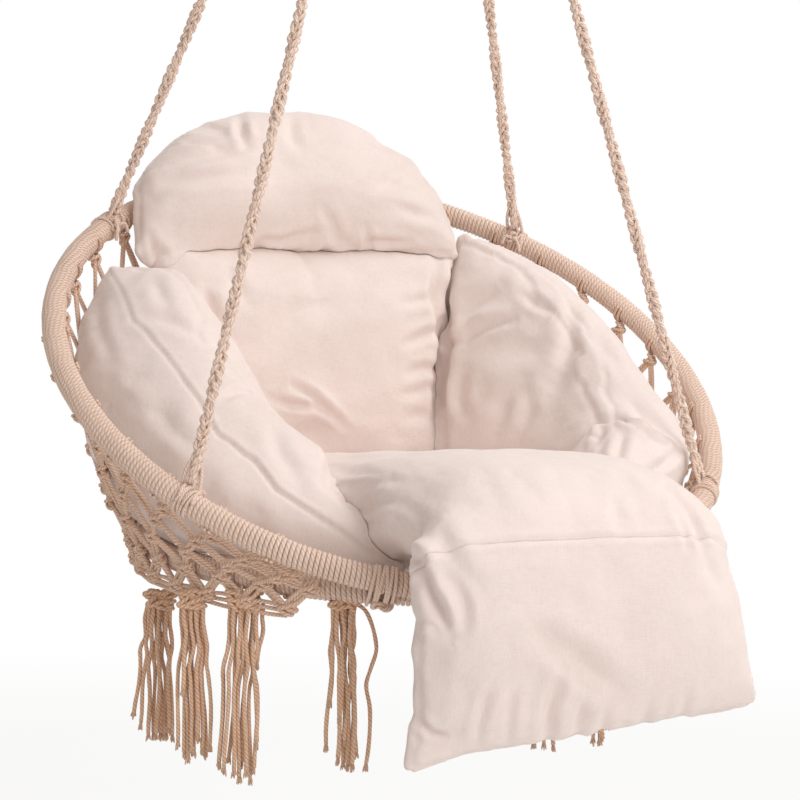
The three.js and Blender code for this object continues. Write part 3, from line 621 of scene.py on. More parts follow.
def rope_lashing(name, side, end, node):
    a = mirrored(side, ROPE_FRONT if end == "front" else ROPE_BACK)
    c, t, s, o = ring_frame(big_point, a)
    path = ropes["left" if side < 0 else "right"][1]
    foot = path[0] if end == "front" else path[-1]
    up = unit((path[3] if end == "front" else path[-4]) - foot)
    cords = Cords()
    seed = 11 + (side > 0) * 2 + (end == "front")
    r = np.random.default_rng(seed)
    radius = WRAP_RADIUS + 0.0008
    ring_turns(cords, big_point, a, LASH_TURNS, radius, LASH_CORD, seed)
    # the braid's cords open out and go round the ring
    around = unit(foot - c)
    side_dir = np.cross(t, around)
    for k, shift in enumerate([-0.010, -0.004, 0.003, 0.010]):
        begin = foot + up * (0.032 + 0.004 * r.uniform(-1, 1)) + t * shift * 0.25
        mid = foot + up * 0.014 + t * shift * 0.8 + side_dir * r.uniform(-0.003, 0.003)
        land = c + around * (radius + 0.001) + t * shift * 1.1
        w = np.linspace(0.2, 1.5, 6) * (1 if k % 2 else -1)
        turns = [math.cos(x) * around + math.sin(x) * side_dir for x in w]
        rest = [c + t * shift * 1.2 + (radius + 0.0012) * turn for turn in turns]
        cords.cord(bezier([begin, mid, land] + rest, 8), 0.0021, 6)
    # the tying knot and two short cut ends
    inner = -s
    knot_at = c + inner * (radius + 0.004) * 0.9 - o * 0.004 + t * 0.003
    cords.cord(trefoil(knot_at, t, unit(np.cross(inner, t)), inner, 0.0075), 0.0020, 6, closed=True)
    for q in (-1, 1):
        out = knot_at + inner * 0.006 + t * 0.008 * q
        tip = knot_at + inner * 0.008 + t * 0.013 * q - [0, 0, 0.012]
        cords.cord(bezier([knot_at, out, tip], 8), 0.002, 6)
    finish_cords(cords, name, WRAP, node)


def facing(a):
    turn = math.acos(max(-1, min(1, BIG_RADIUS * math.cos(a) / SMALL_RADIUS)))
    return -turn if math.sin(a) < 0 else turn


def ring_lashing(name, side, node):
    """Cord bound round both rings where they lie together."""
    a = mirrored(side, RING_LASHING)
    cb, tb, _, _ = ring_frame(big_point, a)
    cs, ts, _, _ = ring_frame(small_point, facing(a))
    axis = unit(tb + ts)
    reach = cs - cb
    reach = reach - axis * reach.dot(axis)
    half = np.linalg.norm(reach) / 2
    along = unit(reach)
    across = np.cross(axis, along)
    centre = (cb + cs) / 2
    radius = WRAP_RADIUS + 0.0014
    cords = Cords()
    r = np.random.default_rng(5 + side)
    for shift in np.linspace(-0.011, 0.011, 6):
        q = np.linspace(0, 2 * math.pi, 40)
        x = radius * np.cos(q) + half * np.sign(np.cos(q)) * np.minimum(1, np.abs(np.cos(q)) * 3)
        y = radius * np.sin(q) * (1 - 0.12 * np.abs(np.cos(q)) ** 6)
        y = np.where(np.abs(np.cos(q)) < 0.33, radius * np.sign(np.sin(q)), y)
        lean = r.uniform(-0.002, 0.002)
        p = centre + axis * (shift + lean * np.sin(q))[:, None] + x[:, None] * along + y[:, None] * across
        for _ in range(2):
            p[1:-1] = (p[:-2] + 2 * p[1:-1] + p[2:]) / 4
        cords.cord(p, 0.0020, 7)
    down = np.array([0, 0, -1.0])
    knot_at = centre + down * (radius + 0.004)
    cords.cord(trefoil(knot_at, axis, unit(np.cross(down, axis)), down, 0.011), 0.0024, 6, closed=True)
    finish_cords(cords, name, WRAP, node)


for side_name, side in (("left", -1), ("right", 1)):
    for end in ("front", "back"):
        rope_lashing(f"lashing_{end}_{side_name}", side, end, f"rope_lashing_{end}_{side_name}")
    ring_lashing(f"binding_{side_name}", side, f"ring_lashing_{side_name}")


# Net
def foot_turn(a):
    return math.pi / 2 + (a - math.pi / 2) * NET_FOOT_SHARE


def net_foot(turn):
    return small_point(turn) + outward(turn) * (WRAP_RADIUS + NET_HALF_THICK + 0.0032)


def wall_point(a, share):
    big = big_point(a)
    small = small_point(foot_turn(a))
    down = unit(small - big)
    t = ring_frame(big_point, a)[1]
    slant = down.dot(t)
    seat = (WRAP_RADIUS + 0.0009 + NET_KNOT) / math.sqrt(1 - slant * slant)
    head = big + down * seat
    foot = net_foot(foot_turn(a))
    ends = min(1, (big[2] - small[2]) / (BIG_RADIUS * math.sin(BIG_TILT)))
    bulge = NET_BULGE * math.sin(math.pi * share**1.8) * (0.4 + 0.6 * max(ends, 0))
    return head + (foot - head) * share + outward(a) * bulge


def band_point(turn, share):
    return net_foot(turn) + outward(turn) * BAND_FLARE * share + np.array([0, 0, -BAND_DROP * share])


def clear_of_lashings(a):
    turn = KNOT_KEEP / BIG_RADIUS
    for side in (ROPE_FRONT, math.pi - ROPE_FRONT, ROPE_BACK, math.pi - ROPE_BACK):
        away = a - side
        if abs(away) < turn:
            return side + math.copysign(turn, away)
    return a


def net_knot(column, level):
    even = math.pi / 2 + NET_HALF_SWEEP * (2 * column / NET_COLUMNS - 1)
    first = min(level, 1)
    a = clear_of_lashings(even) * (1 - first) + even * first
    last = NET_LEVELS - 1
    return band_point(foot_turn(a), level - last) if level > last else wall_point(a, level / last)


def knot_frame(column, level):
    d = 0.2
    ex = unit(net_knot(column + d, level) - net_knot(column - d, level))
    lo = net_knot(column, min(level + d, NET_LEVELS))
    hi = net_knot(column, max(level - d, 0))
    ey = lo - hi
    ey = unit(ey - ex * ey.dot(ex))
    return ex, ey, np.cross(ex, ey)


def square_knot(cords, centre, ex, ey, ez, size, radius, r):
    """Two crossed wraps round a core of two cords, a little uneven from knot to knot."""
    lean = r.uniform(-0.25, 0.25)
    ex, ey = ex * math.cos(lean) + ey * math.sin(lean), ey * math.cos(lean) - ex * math.sin(lean)
    for shift in (-0.34, 0.34):
        q = np.linspace(0, 2 * math.pi, 20, endpoint=False)
        sign = 1 if shift > 0 else -1
        p = (
            centre
            + ex * (size * 0.82 * np.cos(q))[:, None]
            + ez * (size * 0.52 * np.sin(q))[:, None]
            + ey * (size * (shift + 0.26 * sign * np.cos(q)))[:, None]
        )
        cords.cord(p, radius * 1.05, 6, closed=True)
    p = trefoil(centre, ex, ey, ez, size * 0.62, 26)
    cords.cord(p, radius, 6, closed=True)


def net_pair(cords, a, b, normal, radius, r, spread=1.0, count=2, sag=0.0):
    d = unit(b - a)
    across = unit(np.cross(d, normal))
    length = np.linalg.norm(b - a)
    n = max(int(length / 0.006), 5)
    q = np.linspace(0, 1, n)
    for k in range(count):
        off = (k - (count - 1) / 2) * 2 * radius * 0.98
        bow = np.sin(math.pi * q)
        p = a + (b - a) * q[:, None]
        p += across * (off * (0.6 + 0.4 * bow) * spread + 0.0008 * r.normal() * bow)[:, None]
        p += normal * (0.0009 * r.normal() * bow + 0.0006 * math.sin(k * 2.1) - sag * bow)[:, None]
        cords.cord(p, radius, 6)


def ring_loops(cords, point_at, a, knot, w):
    """Two cords laid side by side over a ring from a knot, through angles w round the winding."""
    c, t, _, _ = ring_frame(point_at, a)
    toward = knot - c
    toward = unit(toward - t * toward.dot(t))
    cross = np.cross(t, toward)
    turn = np.cos(w)[:, None] * toward + np.sin(w)[:, None] * cross
    for shift in (-LOOP_SHIFT, LOOP_SHIFT):
        cords.cord(c + t * shift + (WRAP_RADIUS + LOOP_LIFT) * turn, LOOP_CORD, 6)


def back_net():
    cords = Cords()
    r = np.random.default_rng(23)
    at = {}
    for level in range(NET_LEVELS + 1):
        offset = (level % 2) / 2
        count = NET_COLUMNS if offset else NET_COLUMNS + 1
        for i in range(count):
            c = i + offset
            at[(c, level)] = net_knot(c, level)
    for (c, level), p in at.items():
        ex, ey, ez = knot_frame(c, level)
        below = at.get((c + 0.5, level + 1))
        room = np.linalg.norm(below - p) if below is not None else 0.03
        small_r = NET_CORD * 0.95
        size = min(0.0092, 0.0042 + 0.09 * room)
        if level >= NET_LEVELS - 1:
            size *= 1.3
            square_knot(cords, p + ex * 0.006 - ey * 0.003, ex, ey, ez, size * 0.8, small_r, r)
        square_knot(cords, p, ex, ey, ez, size, small_r, r)
        if level == NET_LEVELS and (c + 1, level) in at:
            # the border's cords run on from knot to knot
            q = at[(c + 1, level)]
            net_pair(cords, p + ey * 0.004, q + ey * 0.004, ez, NET_CORD, r, spread=1.6, count=3, sag=-0.002)
        if level < NET_LEVELS:
            for step in (-0.5, 0.5):
                q = at.get((c + step, level + 1))
                if q is not None:
                    many = 3 if level == NET_LEVELS - 1 else 2
                    net_pair(cords, p, q, ez, NET_CORD * (1.05 if many == 3 else 1), r, count=many)
        if level == 0:
            # the cords' loop over the ring
            even = math.pi / 2 + NET_HALF_SWEEP * (2 * c / NET_COLUMNS - 1)
            a = clear_of_lashings(even)
            ring_loops(cords, big_point, a, p, np.linspace(-1.5, 1.5, 16))
    finish_cords(cords, "macrame_net", NET, "back_net")


SEAT_COLUMNS = 12
SEAT_LEVELS = 3
SEAT_SAG = 0.034
SEAT_HOLE = 0.046
RIM = SMALL_RADIUS * math.cos(math.pi / 28) - WRAP_RADIUS - CLEARANCE - NET_KNOT


def seat_knot(column, level):
    a = (column + 0.5) / SEAT_COLUMNS * 2 * math.pi
    radius = RIM + (SEAT_HOLE - RIM) * level / SEAT_LEVELS
    sag = SEAT_SAG * (1 - (radius / RIM) ** 2)
    deep = radius * math.sin(a)
    return SMALL_CENTRE + np.array(
        [radius * math.cos(a), deep * math.cos(SMALL_TILT), deep * math.sin(SMALL_TILT) - sag]
    )


def seat_net():
    cords = Cords()
    r = np.random.default_rng(29)
    for level in range(SEAT_LEVELS + 1):
        offset = (level % 2) / 2
        for i in range(SEAT_COLUMNS):
            c = i + offset
            p = seat_knot(c, level)
            ex = unit(seat_knot(c + 0.2, level) - seat_knot(c - 0.2, level))
            ey = seat_knot(c, min(level + 0.2, SEAT_LEVELS)) - seat_knot(c, max(level - 0.2, 0))
            ey = unit(ey - ex * ey.dot(ex))
            ez = np.cross(ex, ey)
            square_knot(cords, p, ex, ey, ez, 0.0088, NET_CORD * 0.95, r)
            if level < SEAT_LEVELS:
                for step in (-0.5, 0.5):
                    net_pair(cords, p, seat_knot(c + step, level + 1), ez, NET_CORD, r)
            if level == 0:
                a = (c + 0.5) / SEAT_COLUMNS * 2 * math.pi
                ring_loops(cords, small_point, a, p, np.linspace(-2.2, 2.2, 22))
    # the cords of the middle are gathered into a small ring
    w = np.linspace(0, 2 * math.pi, 48, endpoint=False)
    for lift, rad in ((0.0, SEAT_HOLE), (0.004, SEAT_HOLE - 0.002)):
        mid = np.array([seat_knot(x / (2 * math.pi) * SEAT_COLUMNS, SEAT_LEVELS) for x in w])
        mid += (SMALL_CENTRE - mid) * [1, 1, 0] * (1 - rad / SEAT_HOLE) + [0, 0, lift - 0.002]
        cords.cord(mid, NET_CORD, 6, closed=True)
    finish_cords(cords, "seat_macrame", NET, "seat_net")


back_net()
seat_net()


# Fringe
def frayed_end(cords, p, d, radius, r):
    for _ in range(10):
        side = unit(r.normal(size=3))
        side = unit(side - d * side.dot(d))
        reach = r.uniform(0.004, 0.009)
        spread = r.uniform(0.0008, 0.0032)
        q = [p - d * 0.002, p + d * reach * 0.5 + side * spread * 0.7, p + d * reach + side * spread]
        cords.cord(np.array(q), np.array([0.0012, 0.0010, 0.0006]), 4)


def strand(cords, points, radius, r, steps=7):
    p = bezier(points, steps)
    n = len(p)
    q = np.linspace(0, 1, n)
    wob = np.stack([np.sin(q * r.uniform(9, 16) + r.uniform(0, 6)) for _ in range(3)], 1) * [1, 1, 0.2]
    p = p + wob * 0.0016 * (q * (1 - q) * 4)[:, None] ** 0.5
    rad = radius * (1 + 0.06 * np.sin(q * 40 + r.uniform(0, 6)))
    cords.cord(p, rad, 6)
    frayed_end(cords, p[-1], unit(p[-1] - p[-3]), radius, r)


def tassel(index, pixels=None):
    """Cords that hang side by side from the border's knots."""
    node = f"tassel_{index}"
    lo, hi = (np.array(v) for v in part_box(node))
    cx, cy = (lo[0] + hi[0]) / 2, (lo[1] + hi[1]) / 2
    top = np.array([cx, cy, hi[2]])
    length = hi[2] - lo[2]
    r = np.random.default_rng(100 + index)
    cords = Cords()
    count = FRINGE_COUNT
    depth = to_pixel(top)[1][0]
    out = unit(np.array([cx, cy - RING_CENTRE[1], 0.0]))
    along = np.array([-out[1], out[0], 0.0])
    up = np.array([0, 0, 1.0])
    if pixels:
        (left, right, level), ends = pixels
        count = len(ends)
        for row, many in ((0, 3), (1, 4)):
            for k in range(many):
                u = left + (right - left) * (k + 0.5 + r.uniform(-0.2, 0.2)) / many
                at = at_pixel(u, level + 1 - 8 * row + r.uniform(-2, 2), depth - 0.004 + 0.003 * row)
                tilt = r.uniform(-0.6, 0.6)
                ex = CAM_RIGHT * math.cos(tilt) + CAM_UP * math.sin(tilt)
                size = r.uniform(0.0068, 0.0086)
                square_knot(cords, at, ex, np.cross(CAM_FWD, ex), -CAM_FWD, size, 0.0023, r)
    else:
        for row in range(2):
            for k in (-1.0, 0.0, 1.0):
                at = top + along * 0.0095 * (k + 0.5 * row - 0.25) + up * (0.008 * row - 0.003)
                square_knot(cords, at, along, -up, out, 0.0085, 0.0023, r)
    for k in range(count):
        share = (k + 0.5) / count
        deep = 0.006 * math.sin(2.4 * k + index)
        if pixels:
            start = at_pixel(left + (right - left) * share, level - 2 * (k % 2), depth + deep * 0.6)
            end = at_pixel(*ends[k], depth + deep)
            mid = (start + end) / 2 + along * r.uniform(-0.004, 0.004)
            third = start * 0.72 + end * 0.28 + along * r.uniform(-0.0015, 0.0015)
        else:
            wide = (share - 0.5) * 0.030
            start = top + along * wide * 0.85 + out * deep * 0.6 - up * 0.004
            drop = length * r.uniform(0.84, 0.985)
            end = top + along * (wide + r.uniform(-0.004, 0.004)) + out * deep - up * drop
            mid = (start + end) / 2 + along * r.uniform(-0.0035, 0.0035) + out * r.uniform(-0.002, 0.002)
            third = start * 0.72 + end * 0.28
        end[2] = max(end[2], lo[2] + 0.004)
        strand(cords, [start, third, mid, end], FRINGE_CORD * r.uniform(0.95, 1.1), r)
    return cords, depth, r


# For the tassels that the photograph shows: left, right and level of their top, then each cord's end
PIXEL_ENDS = {
    1: ((147, 172, 602), [
        (134, 712), (141, 722), (148, 742), (153, 746), (156, 734),
        (160, 750), (164, 744), (169, 728), (166, 738), (172, 742),
    ]),
    2: ((181, 204, 602), [
        (178, 742), (183, 690), (184, 752), (188, 756), (191, 746),
        (194, 750), (198, 736), (202, 748), (206, 752), (210, 744),
    ]),
    3: ((230, 258, 603), [
        (219, 762), (224, 768), (229, 756), (234, 770), (239, 776),
        (242, 762), (246, 770), (250, 778), (254, 768), (257, 742),
    ]),
    7: ((331, 357, 604), [
        (326, 744), (330, 700), (338, 758), (343, 766), (340, 716),
        (347, 770), (350, 760), (352, 764), (356, 752), (344, 740),
    ]),
}
LONE_CORDS = {
    3: [(263, 603), (263, 620), (261, 640), (257, 662)],
    7: [
        (357, 604), (367, 613), (376, 633), (376, 648), (369, 668),
        (367, 684), (371, 706), (369, 735), (366, 764),
    ],
}

for index in range(1, 11):
    cords, depth, r = tassel(index, PIXEL_ENDS.get(index))
    if index in LONE_CORDS:
        # one cord hangs apart from the rest
        strand(cords, [at_pixel(u, v, depth + 0.004) for u, v in LONE_CORDS[index]], FRINGE_CORD, r, 5)
    finish_cords(cords, f"fringe_{index}", FRINGE, f"tassel_{index}")


# Hanging ring
def hanging_ring():
    cords = Cords()
    w = np.linspace(0, 2 * math.pi, 96, endpoint=False)
    path = np.stack([HANG_RING_RADIUS * np.cos(w), 0 * w, HANG_RING_RADIUS * np.sin(w)], 1)
    path += [0, 0, -(HANG_RING_RADIUS - HANG_WIRE_RADIUS)]
    bead = np.exp(-(((w - 1.15) / 0.05) ** 2)) * 0.0005
    cords.cord(path, HANG_WIRE_RADIUS - 0.0005 + bead, 20, closed=True)
    finish_cords(cords, "steel_ring", STEEL, "hanging_ring", "hanger")


hanging_ring()

for node in ("big_ring_tube", "small_ring_tube"):
    ob = bpy.data.objects[node]
    for slot in ob.material_slots:
        slot.material = PAINT


# Cushions
SEAM_NORMAL = unit(np.array([0.0, -0.692, -0.722]))
SEAM_OFFSET = 1.1345
SEAM_BEND = 0.075
VOXEL = 0.0048
JOIN_GROWTH = 0.0012
CLOTH_FRAMES = 14
CLOTH_PRESSURE = 4.0
CLOTH_SHRINK = -0.05
PAD_GAP = 0.0010
PRESS_REACH = 0.06
WELT = 0.0009
SEAM_GROOVE = 0.0010
# Axis along which a lean grows, where it starts, where it is whole, and its size fore and aft
SEAT_LEAN = (1, 0.05, 0.14, 0.015)
BACK_LEAN = (2, -1.08, -1.15, -0.009)
RIM_REACH = 0.030
RIM_LIP = 0.0018
PILLOW_BEND = ((0.0, 0.262, -0.900), (0.0, 0.282, -0.800))


def copy_solid(nodes, extra=None):
    """One mesh of copies of the solids, each a little grown, so that neighbours in one pad join."""
    bm = bmesh.new()
    if extra:
        bm.from_mesh(extra)
    for node in nodes:
        src = bpy.data.objects[node]
        me = src.data.copy()
        me.transform(src.matrix_world)
        bm.from_mesh(me)
        bpy.data.meshes.remove(me)
    bmesh.ops.remove_doubles(bm, verts=bm.verts, dist=1e-5)
    bm.normal_update()
    for v in bm.verts:
        v.co += v.normal * (JOIN_GROWTH if len(nodes) > 1 else 0)
    me = bpy.data.meshes.new(nodes[0] + "_work")
    bm.to_mesh(me)
    bm.free()
    return new_object(nodes[0] + "_work", me)


def apply_modifier(ob, kind, **settings):
    mod = ob.modifiers.new("work", kind)
    for key, value in settings.items():
        setattr(mod, key, value)
    dg = bpy.context.evaluated_depsgraph_get()
    me = bpy.data.meshes.new_from_object(ob.evaluated_get(dg))
    ob.modifiers.clear()
    old = ob.data
    ob.data = me
    bpy.data.meshes.remove(old)


def coords(ob):
    n = len(ob.data.vertices)
    a = np.empty(n * 3, np.float32)
    ob.data.vertices.foreach_get("co", a)
    return a.reshape(-1, 3).astype(float)


def normals(ob):
    n = len(ob.data.vertices)
    a = np.empty(n * 3, np.float32)
    ob.data.vertices.foreach_get("normal", a)
    return a.reshape(-1, 3).astype(float)


def set_coords(ob, a):
    ob.data.vertices.foreach_set("co", a.astype(np.float32).ravel())
    ob.data.update()


def smooth(ob, factor, times):
    apply_modifier(ob, "SMOOTH", factor=factor, iterations=times)


def simulate(ob, cap):
    """Cloth swells from the copy, with each point's way capped."""
    start = coords(ob)
    mod = ob.modifiers.new("cloth", "CLOTH")
    s = mod.settings
    s.quality = 4
    s.mass = 0.25
    s.tension_stiffness = 12
    s.compression_stiffness = 8
    s.shear_stiffness = 5
    s.bending_stiffness = 0.3
    s.tension_damping = 6
    s.compression_damping = 6
    s.shear_damping = 6
    s.shrink_min = CLOTH_SHRINK
    s.use_pressure = True
    s.uniform_pressure_force = CLOTH_PRESSURE
    s.effector_weights.gravity = 0
    mod.collision_settings.use_collision = False
    mod.point_cache.frame_start = 1
    mod.point_cache.frame_end = CLOTH_FRAMES
    scene = bpy.context.scene
    for f in range(1, CLOTH_FRAMES + 1):
        scene.frame_set(f)
    dg = bpy.context.evaluated_depsgraph_get()
    ev = ob.evaluated_get(dg).to_mesh()
    a = np.empty(len(ev.vertices) * 3, np.float32)
    ev.vertices.foreach_get("co", a)
    end = a.reshape(-1, 3).astype(float)
    ob.evaluated_get(dg).to_mesh_clear()
    ob.modifiers.clear()
    scene.frame_set(1)
    move = end - start
    far = np.linalg.norm(move, axis=1, keepdims=True)
    move *= np.minimum(1, cap / np.maximum(far, 1e-9))
    set_coords(ob, start + move)


def along_line(p, line):
    """Distance of 2-D points to a polyline, with its side and the share along it."""
    best = np.full(len(p), 1e9)
    side = np.ones(len(p))
    share = np.zeros(len(p))
    line = np.asarray(line, float)
    n = len(line) - 1
    for i in range(n):
        a, b = line[i], line[i + 1]
        ab = b - a
        q = np.clip(((p - a) @ ab) / max(ab @ ab, 1e-9), 0, 1)
        away = p - (a + q[:, None] * ab)
        d = np.linalg.norm(away, axis=1)
        near = d < best
        best[near] = d[near]
        share[near] = (i + q[near]) / n
        side[near] = np.sign(ab[0] * away[near, 1] - ab[1] * away[near, 0])
    return best, side, share


def edges_of(ob):
    e = np.empty(len(ob.data.edges) * 2, np.int32)
    ob.data.edges.foreach_get("vertices", e)
    return e.reshape(-1, 2)


def spread(values, edges, times):
    """Each point's value moves to the mean of its neighbours', times over."""
    n = len(values)
    count = np.bincount(edges.ravel(), minlength=n).clip(1)[:, None]
    out = values.reshape(n, -1).astype(float)
    a, b = edges.T
    for _ in range(times):
        total = np.stack([np.bincount(a, v[b], n) + np.bincount(b, v[a], n) for v in out.T], 1)
        out = 0.4 * out + 0.6 * total / count
    return out.reshape(values.shape)


class Form:
    """Folds, seams and swells gathered over a smooth pad, then given to it in one step."""

    def __init__(self, ob):
        self.ob = ob
        self.co = coords(ob)
        self.edges = edges_of(ob)
        no = spread(normals(ob), self.edges, 6)
        self.no = no / np.linalg.norm(no, axis=1, keepdims=True)
        self.px = to_pixel(self.co)[0]
        self.view = np.clip((0.25 - self.no @ CAM_FWD) / 0.3, 0, 1)
        self.add = np.zeros(len(self.co))
        self.move = np.zeros((len(self.co), 3))

    def fold(self, line, width, depth, side=0, lip=0.5):
        """A groove along a line of the photograph, with a raised lip on one side or on both."""
        middle = (np.max(line, 0) + np.min(line, 0)) / 2
        near = (np.abs(self.px - middle) < np.ptp(line, 0) / 2 + 6 * width).all(1)
        d, s, share = along_line(self.px[near], line)
        fade = np.sin(np.pi * np.clip(share, 0.04, 0.96)) ** 0.6
        groove = np.exp(-((d / width) ** 2))
        rise = np.exp(-(((d - 1.9 * width) / (1.1 * width)) ** 2)) * (1 if side == 0 else (s == side))
        self.add[near] += depth * (lip * rise - groove) * fade * self.view[near]

    def lump(self, centre, size, amount):
        """A soft swell or hollow round a pixel of the photograph."""
        d = np.linalg.norm((self.px - np.array(centre)) / np.array(size), axis=1)
        self.add += amount * np.exp(-(d**2)) * self.view

    def nudge(self, centre, size, shift, nearer=0.0):
        """A shift across the view, in pixels, and towards the camera, round a pixel of the photograph."""
        d = np.linalg.norm((self.px - np.array(centre)) / np.array(size), axis=1)
        depth = (self.co - CAM_AT) @ CAM_FWD
        step = (shift[0] * CAM_RIGHT - shift[1] * CAM_UP)[None, :] * (depth / CAM_F)[:, None]
        self.move += (step - nearer * CAM_FWD) * np.exp(-(d**2))[:, None]

    def soften(self, amount, scale, seed):
        """Uneven swell all over, as loose filling gives."""
        q = self.co * scale + seed
        self.add += amount * np.array([noise.fractal(Vector(p), 0.8, 2.0, 3) for p in q])

    def rim(self, axis, waves, seed, pucker=0.0026):
        """The sewn edge where the two faces meet, with the puckers that it draws in."""
        axis = np.broadcast_to(axis, self.co.shape)
        g = np.einsum("ij,ij->i", self.no, axis)
        on = np.flatnonzero(np.abs(g) < 0.07)
        kd = kdtree.KDTree(len(on))
        for i in on:
            kd.insert(Vector(self.co[i]), int(i))
        kd.balance()
        d = np.array([kd.find(Vector(p))[2] for p in self.co])
        main = unit(axis.mean(0))
        e1 = unit(np.cross(main, [0.13, 0.2, 0.9]) if abs(main[2]) < 0.8 else np.cross(main, [0.9, 0.2, 0.1]))
        e2 = np.cross(main, e1)
        rel = self.co - self.co.mean(0)
        a = np.arctan2(rel @ e2, rel @ e1)
        face = np.sign(g) * 3.0 + seed

        def bumps(fine):
            return np.array(
                [noise.noise(Vector((math.cos(x) * fine, math.sin(x) * fine, f))) for x, f in zip(a, face)]
            )

        near = np.exp(-d / RIM_REACH) * (1 - np.exp(-((d / 0.006) ** 2)))
        self.add += pucker * (bumps(waves) + 0.45 * bumps(waves * 3.1)) * near
        self.add += RIM_LIP * (np.exp(-((d / 0.0034) ** 2)) - 0.8 * np.exp(-(((d - 0.0085) / 0.0042) ** 2)))

    def shape(self, folds, lumps, nudges):
        """All that was gathered, with these rows on top, is given to the pad."""
        for row in folds:
            self.fold(*row)
        for row in lumps:
            self.lump(*row)
        for row in nudges:
            self.nudge(*row)
        add = spread(self.add, self.edges, 1)
        set_coords(self.ob, self.co + self.no * add[:, None] + spread(self.move, self.edges, 2))


def lean_on(ob, axis, start, end, shift):
    """A shift fore and aft that grows along an axis from start to end."""
    co = coords(ob)
    share = np.clip((co[:, axis] - start) / (end - start), 0, 1)
    co[:, 1] += shift * share * share * (3 - 2 * share)
    set_coords(ob, co)


def thin_axis(ob):
    co = coords(ob)
    return np.linalg.eigh(np.cov((co - co.mean(0)).T))[1][:, 0]


def tree_of(ob):
    me = ob.data
    return BVHTree.FromPolygons([v.co.copy() for v in me.vertices], [p.vertices[:] for p in me.polygons])


def keep_clear(ob, others):
    """Points that reach into a neighbour go back to just off its surface, and those round them follow."""
    edges = edges_of(ob)
    for other in others:
        tree = tree_of(other)
        lo, hi = coords(other).min(0) - PAD_GAP, coords(other).max(0) + PAD_GAP
        for again in (5, 3, 2, 0):
            co = coords(ob)
            move = np.zeros_like(co)
            for i in np.flatnonzero(((co > lo) & (co < hi)).all(1)):
                hit, nrm, _, _ = tree.find_nearest(Vector(co[i]), PRESS_REACH)
                room = PAD_GAP if again else 0.3 * PAD_GAP
                if hit is not None and (Vector(co[i]) - hit).dot(nrm) < room:
                    move[i] = np.array(hit + nrm * room) - co[i]
            if again:
                wide = spread(move, edges, 4 * again)
                keep = np.linalg.norm(move, axis=1, keepdims=True) > 0
                move = np.where(keep, 0.5 * move + 0.5 * wide, wide)
            set_coords(ob, co + move)
        # the pressed places are evened out
        flat = np.minimum(1, spread((np.linalg.norm(move, axis=1) > 0).astype(float), edges, 6) * 2)[:, None]
        co = coords(ob)
        set_coords(ob, co + flat * (spread(co, edges, 8) - co))


# Outline and middle of the bar in the y-z plane
NOSE_SECTION = np.array([
    (-0.385, -1.120), (-0.409, -1.138), (-0.424, -1.160), (-0.434, -1.186),
    (-0.437, -1.215), (-0.400, -1.225), (-0.372, -1.195), (-0.368, -1.150),
])
NOSE_HEART = np.array([-0.400, -1.176])


def nose():
    """A bar of filling where the cover bends from the seat down into the leg flap."""
    lo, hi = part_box("seat_cushion")
    mid, half = (lo[0] + hi[0]) / 2, (hi[0] - lo[0]) / 2 - 0.003
    section, heart = NOSE_SECTION, NOSE_HEART
    bm = bmesh.new()
    rows = []
    for q in np.linspace(-1, 1, 13):
        thin = (1 - abs(q) ** 3.2) ** 0.5 * 0.93 + 0.05
        rows.append([bm.verts.new((mid + half * q, *(heart + (p - heart) * thin))) for p in section])
    n = len(section)
    for a, b in zip(rows[:-1], rows[1:]):
        for k in range(n):
            bm.faces.new((a[k], a[(k + 1) % n], b[(k + 1) % n], b[k]))
    bm.faces.new(rows[0][::-1])
    bm.faces.new(rows[-1])
    bmesh.ops.recalc_face_normals(bm, faces=bm.faces[:])
    me = bpy.data.meshes.new("nose_work")
    bm.to_mesh(me)
    bm.free()
    return me


def make_pad(name, nodes, cap=0.009, extra=None):
    ob = copy_solid(nodes, extra=extra)
    apply_modifier(ob, "REMESH", mode="VOXEL", voxel_size=VOXEL)
    smooth(ob, 0.5, 10)
    simulate(ob, cap)
    smooth(ob, 0.5, 2)
    apply_modifier(ob, "SUBSURF", levels=1, render_levels=1)
    ob.name = ob.data.name = name
    return ob


def dress(ob, node, body, bend=None):
    ob.data.materials.clear()
    ob.data.materials.append(LINEN)
    ob.data.polygons.foreach_set("use_smooth", [True] * len(ob.data.polygons))
    if bend:
        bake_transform(ob)
    else:
        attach(ob, body)
    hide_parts(node)


def cut_half(ob, name, sign):
    """The half of a pad on one side of the seam's plane, closed along the cut."""
    bm = bmesh.new()
    bm.from_mesh(ob.data)
    at = SEAM_NORMAL * (SEAM_OFFSET + 0.0002 * sign)
    bmesh.ops.bisect_plane(
        bm,
        geom=bm.verts[:] + bm.edges[:] + bm.faces[:],
        plane_co=at,
        plane_no=SEAM_NORMAL,
        clear_inner=sign > 0,
        clear_outer=sign < 0,
    )
    edges = [e for e in bm.edges if e.is_boundary]
    bmesh.ops.holes_fill(bm, edges=edges, sides=0)
    bmesh.ops.triangulate(bm, faces=[f for f in bm.faces if len(f.verts) > 4])
    bmesh.ops.recalc_face_normals(bm, faces=bm.faces[:])
    me = bpy.data.meshes.new(name)
    bm.to_mesh(me)
    bm.free()
    return new_object(name, me)


def seam_side(co):
    """Distance beyond the plane of the seam between seat and leg flap."""
    return co @ SEAM_NORMAL - SEAM_OFFSET


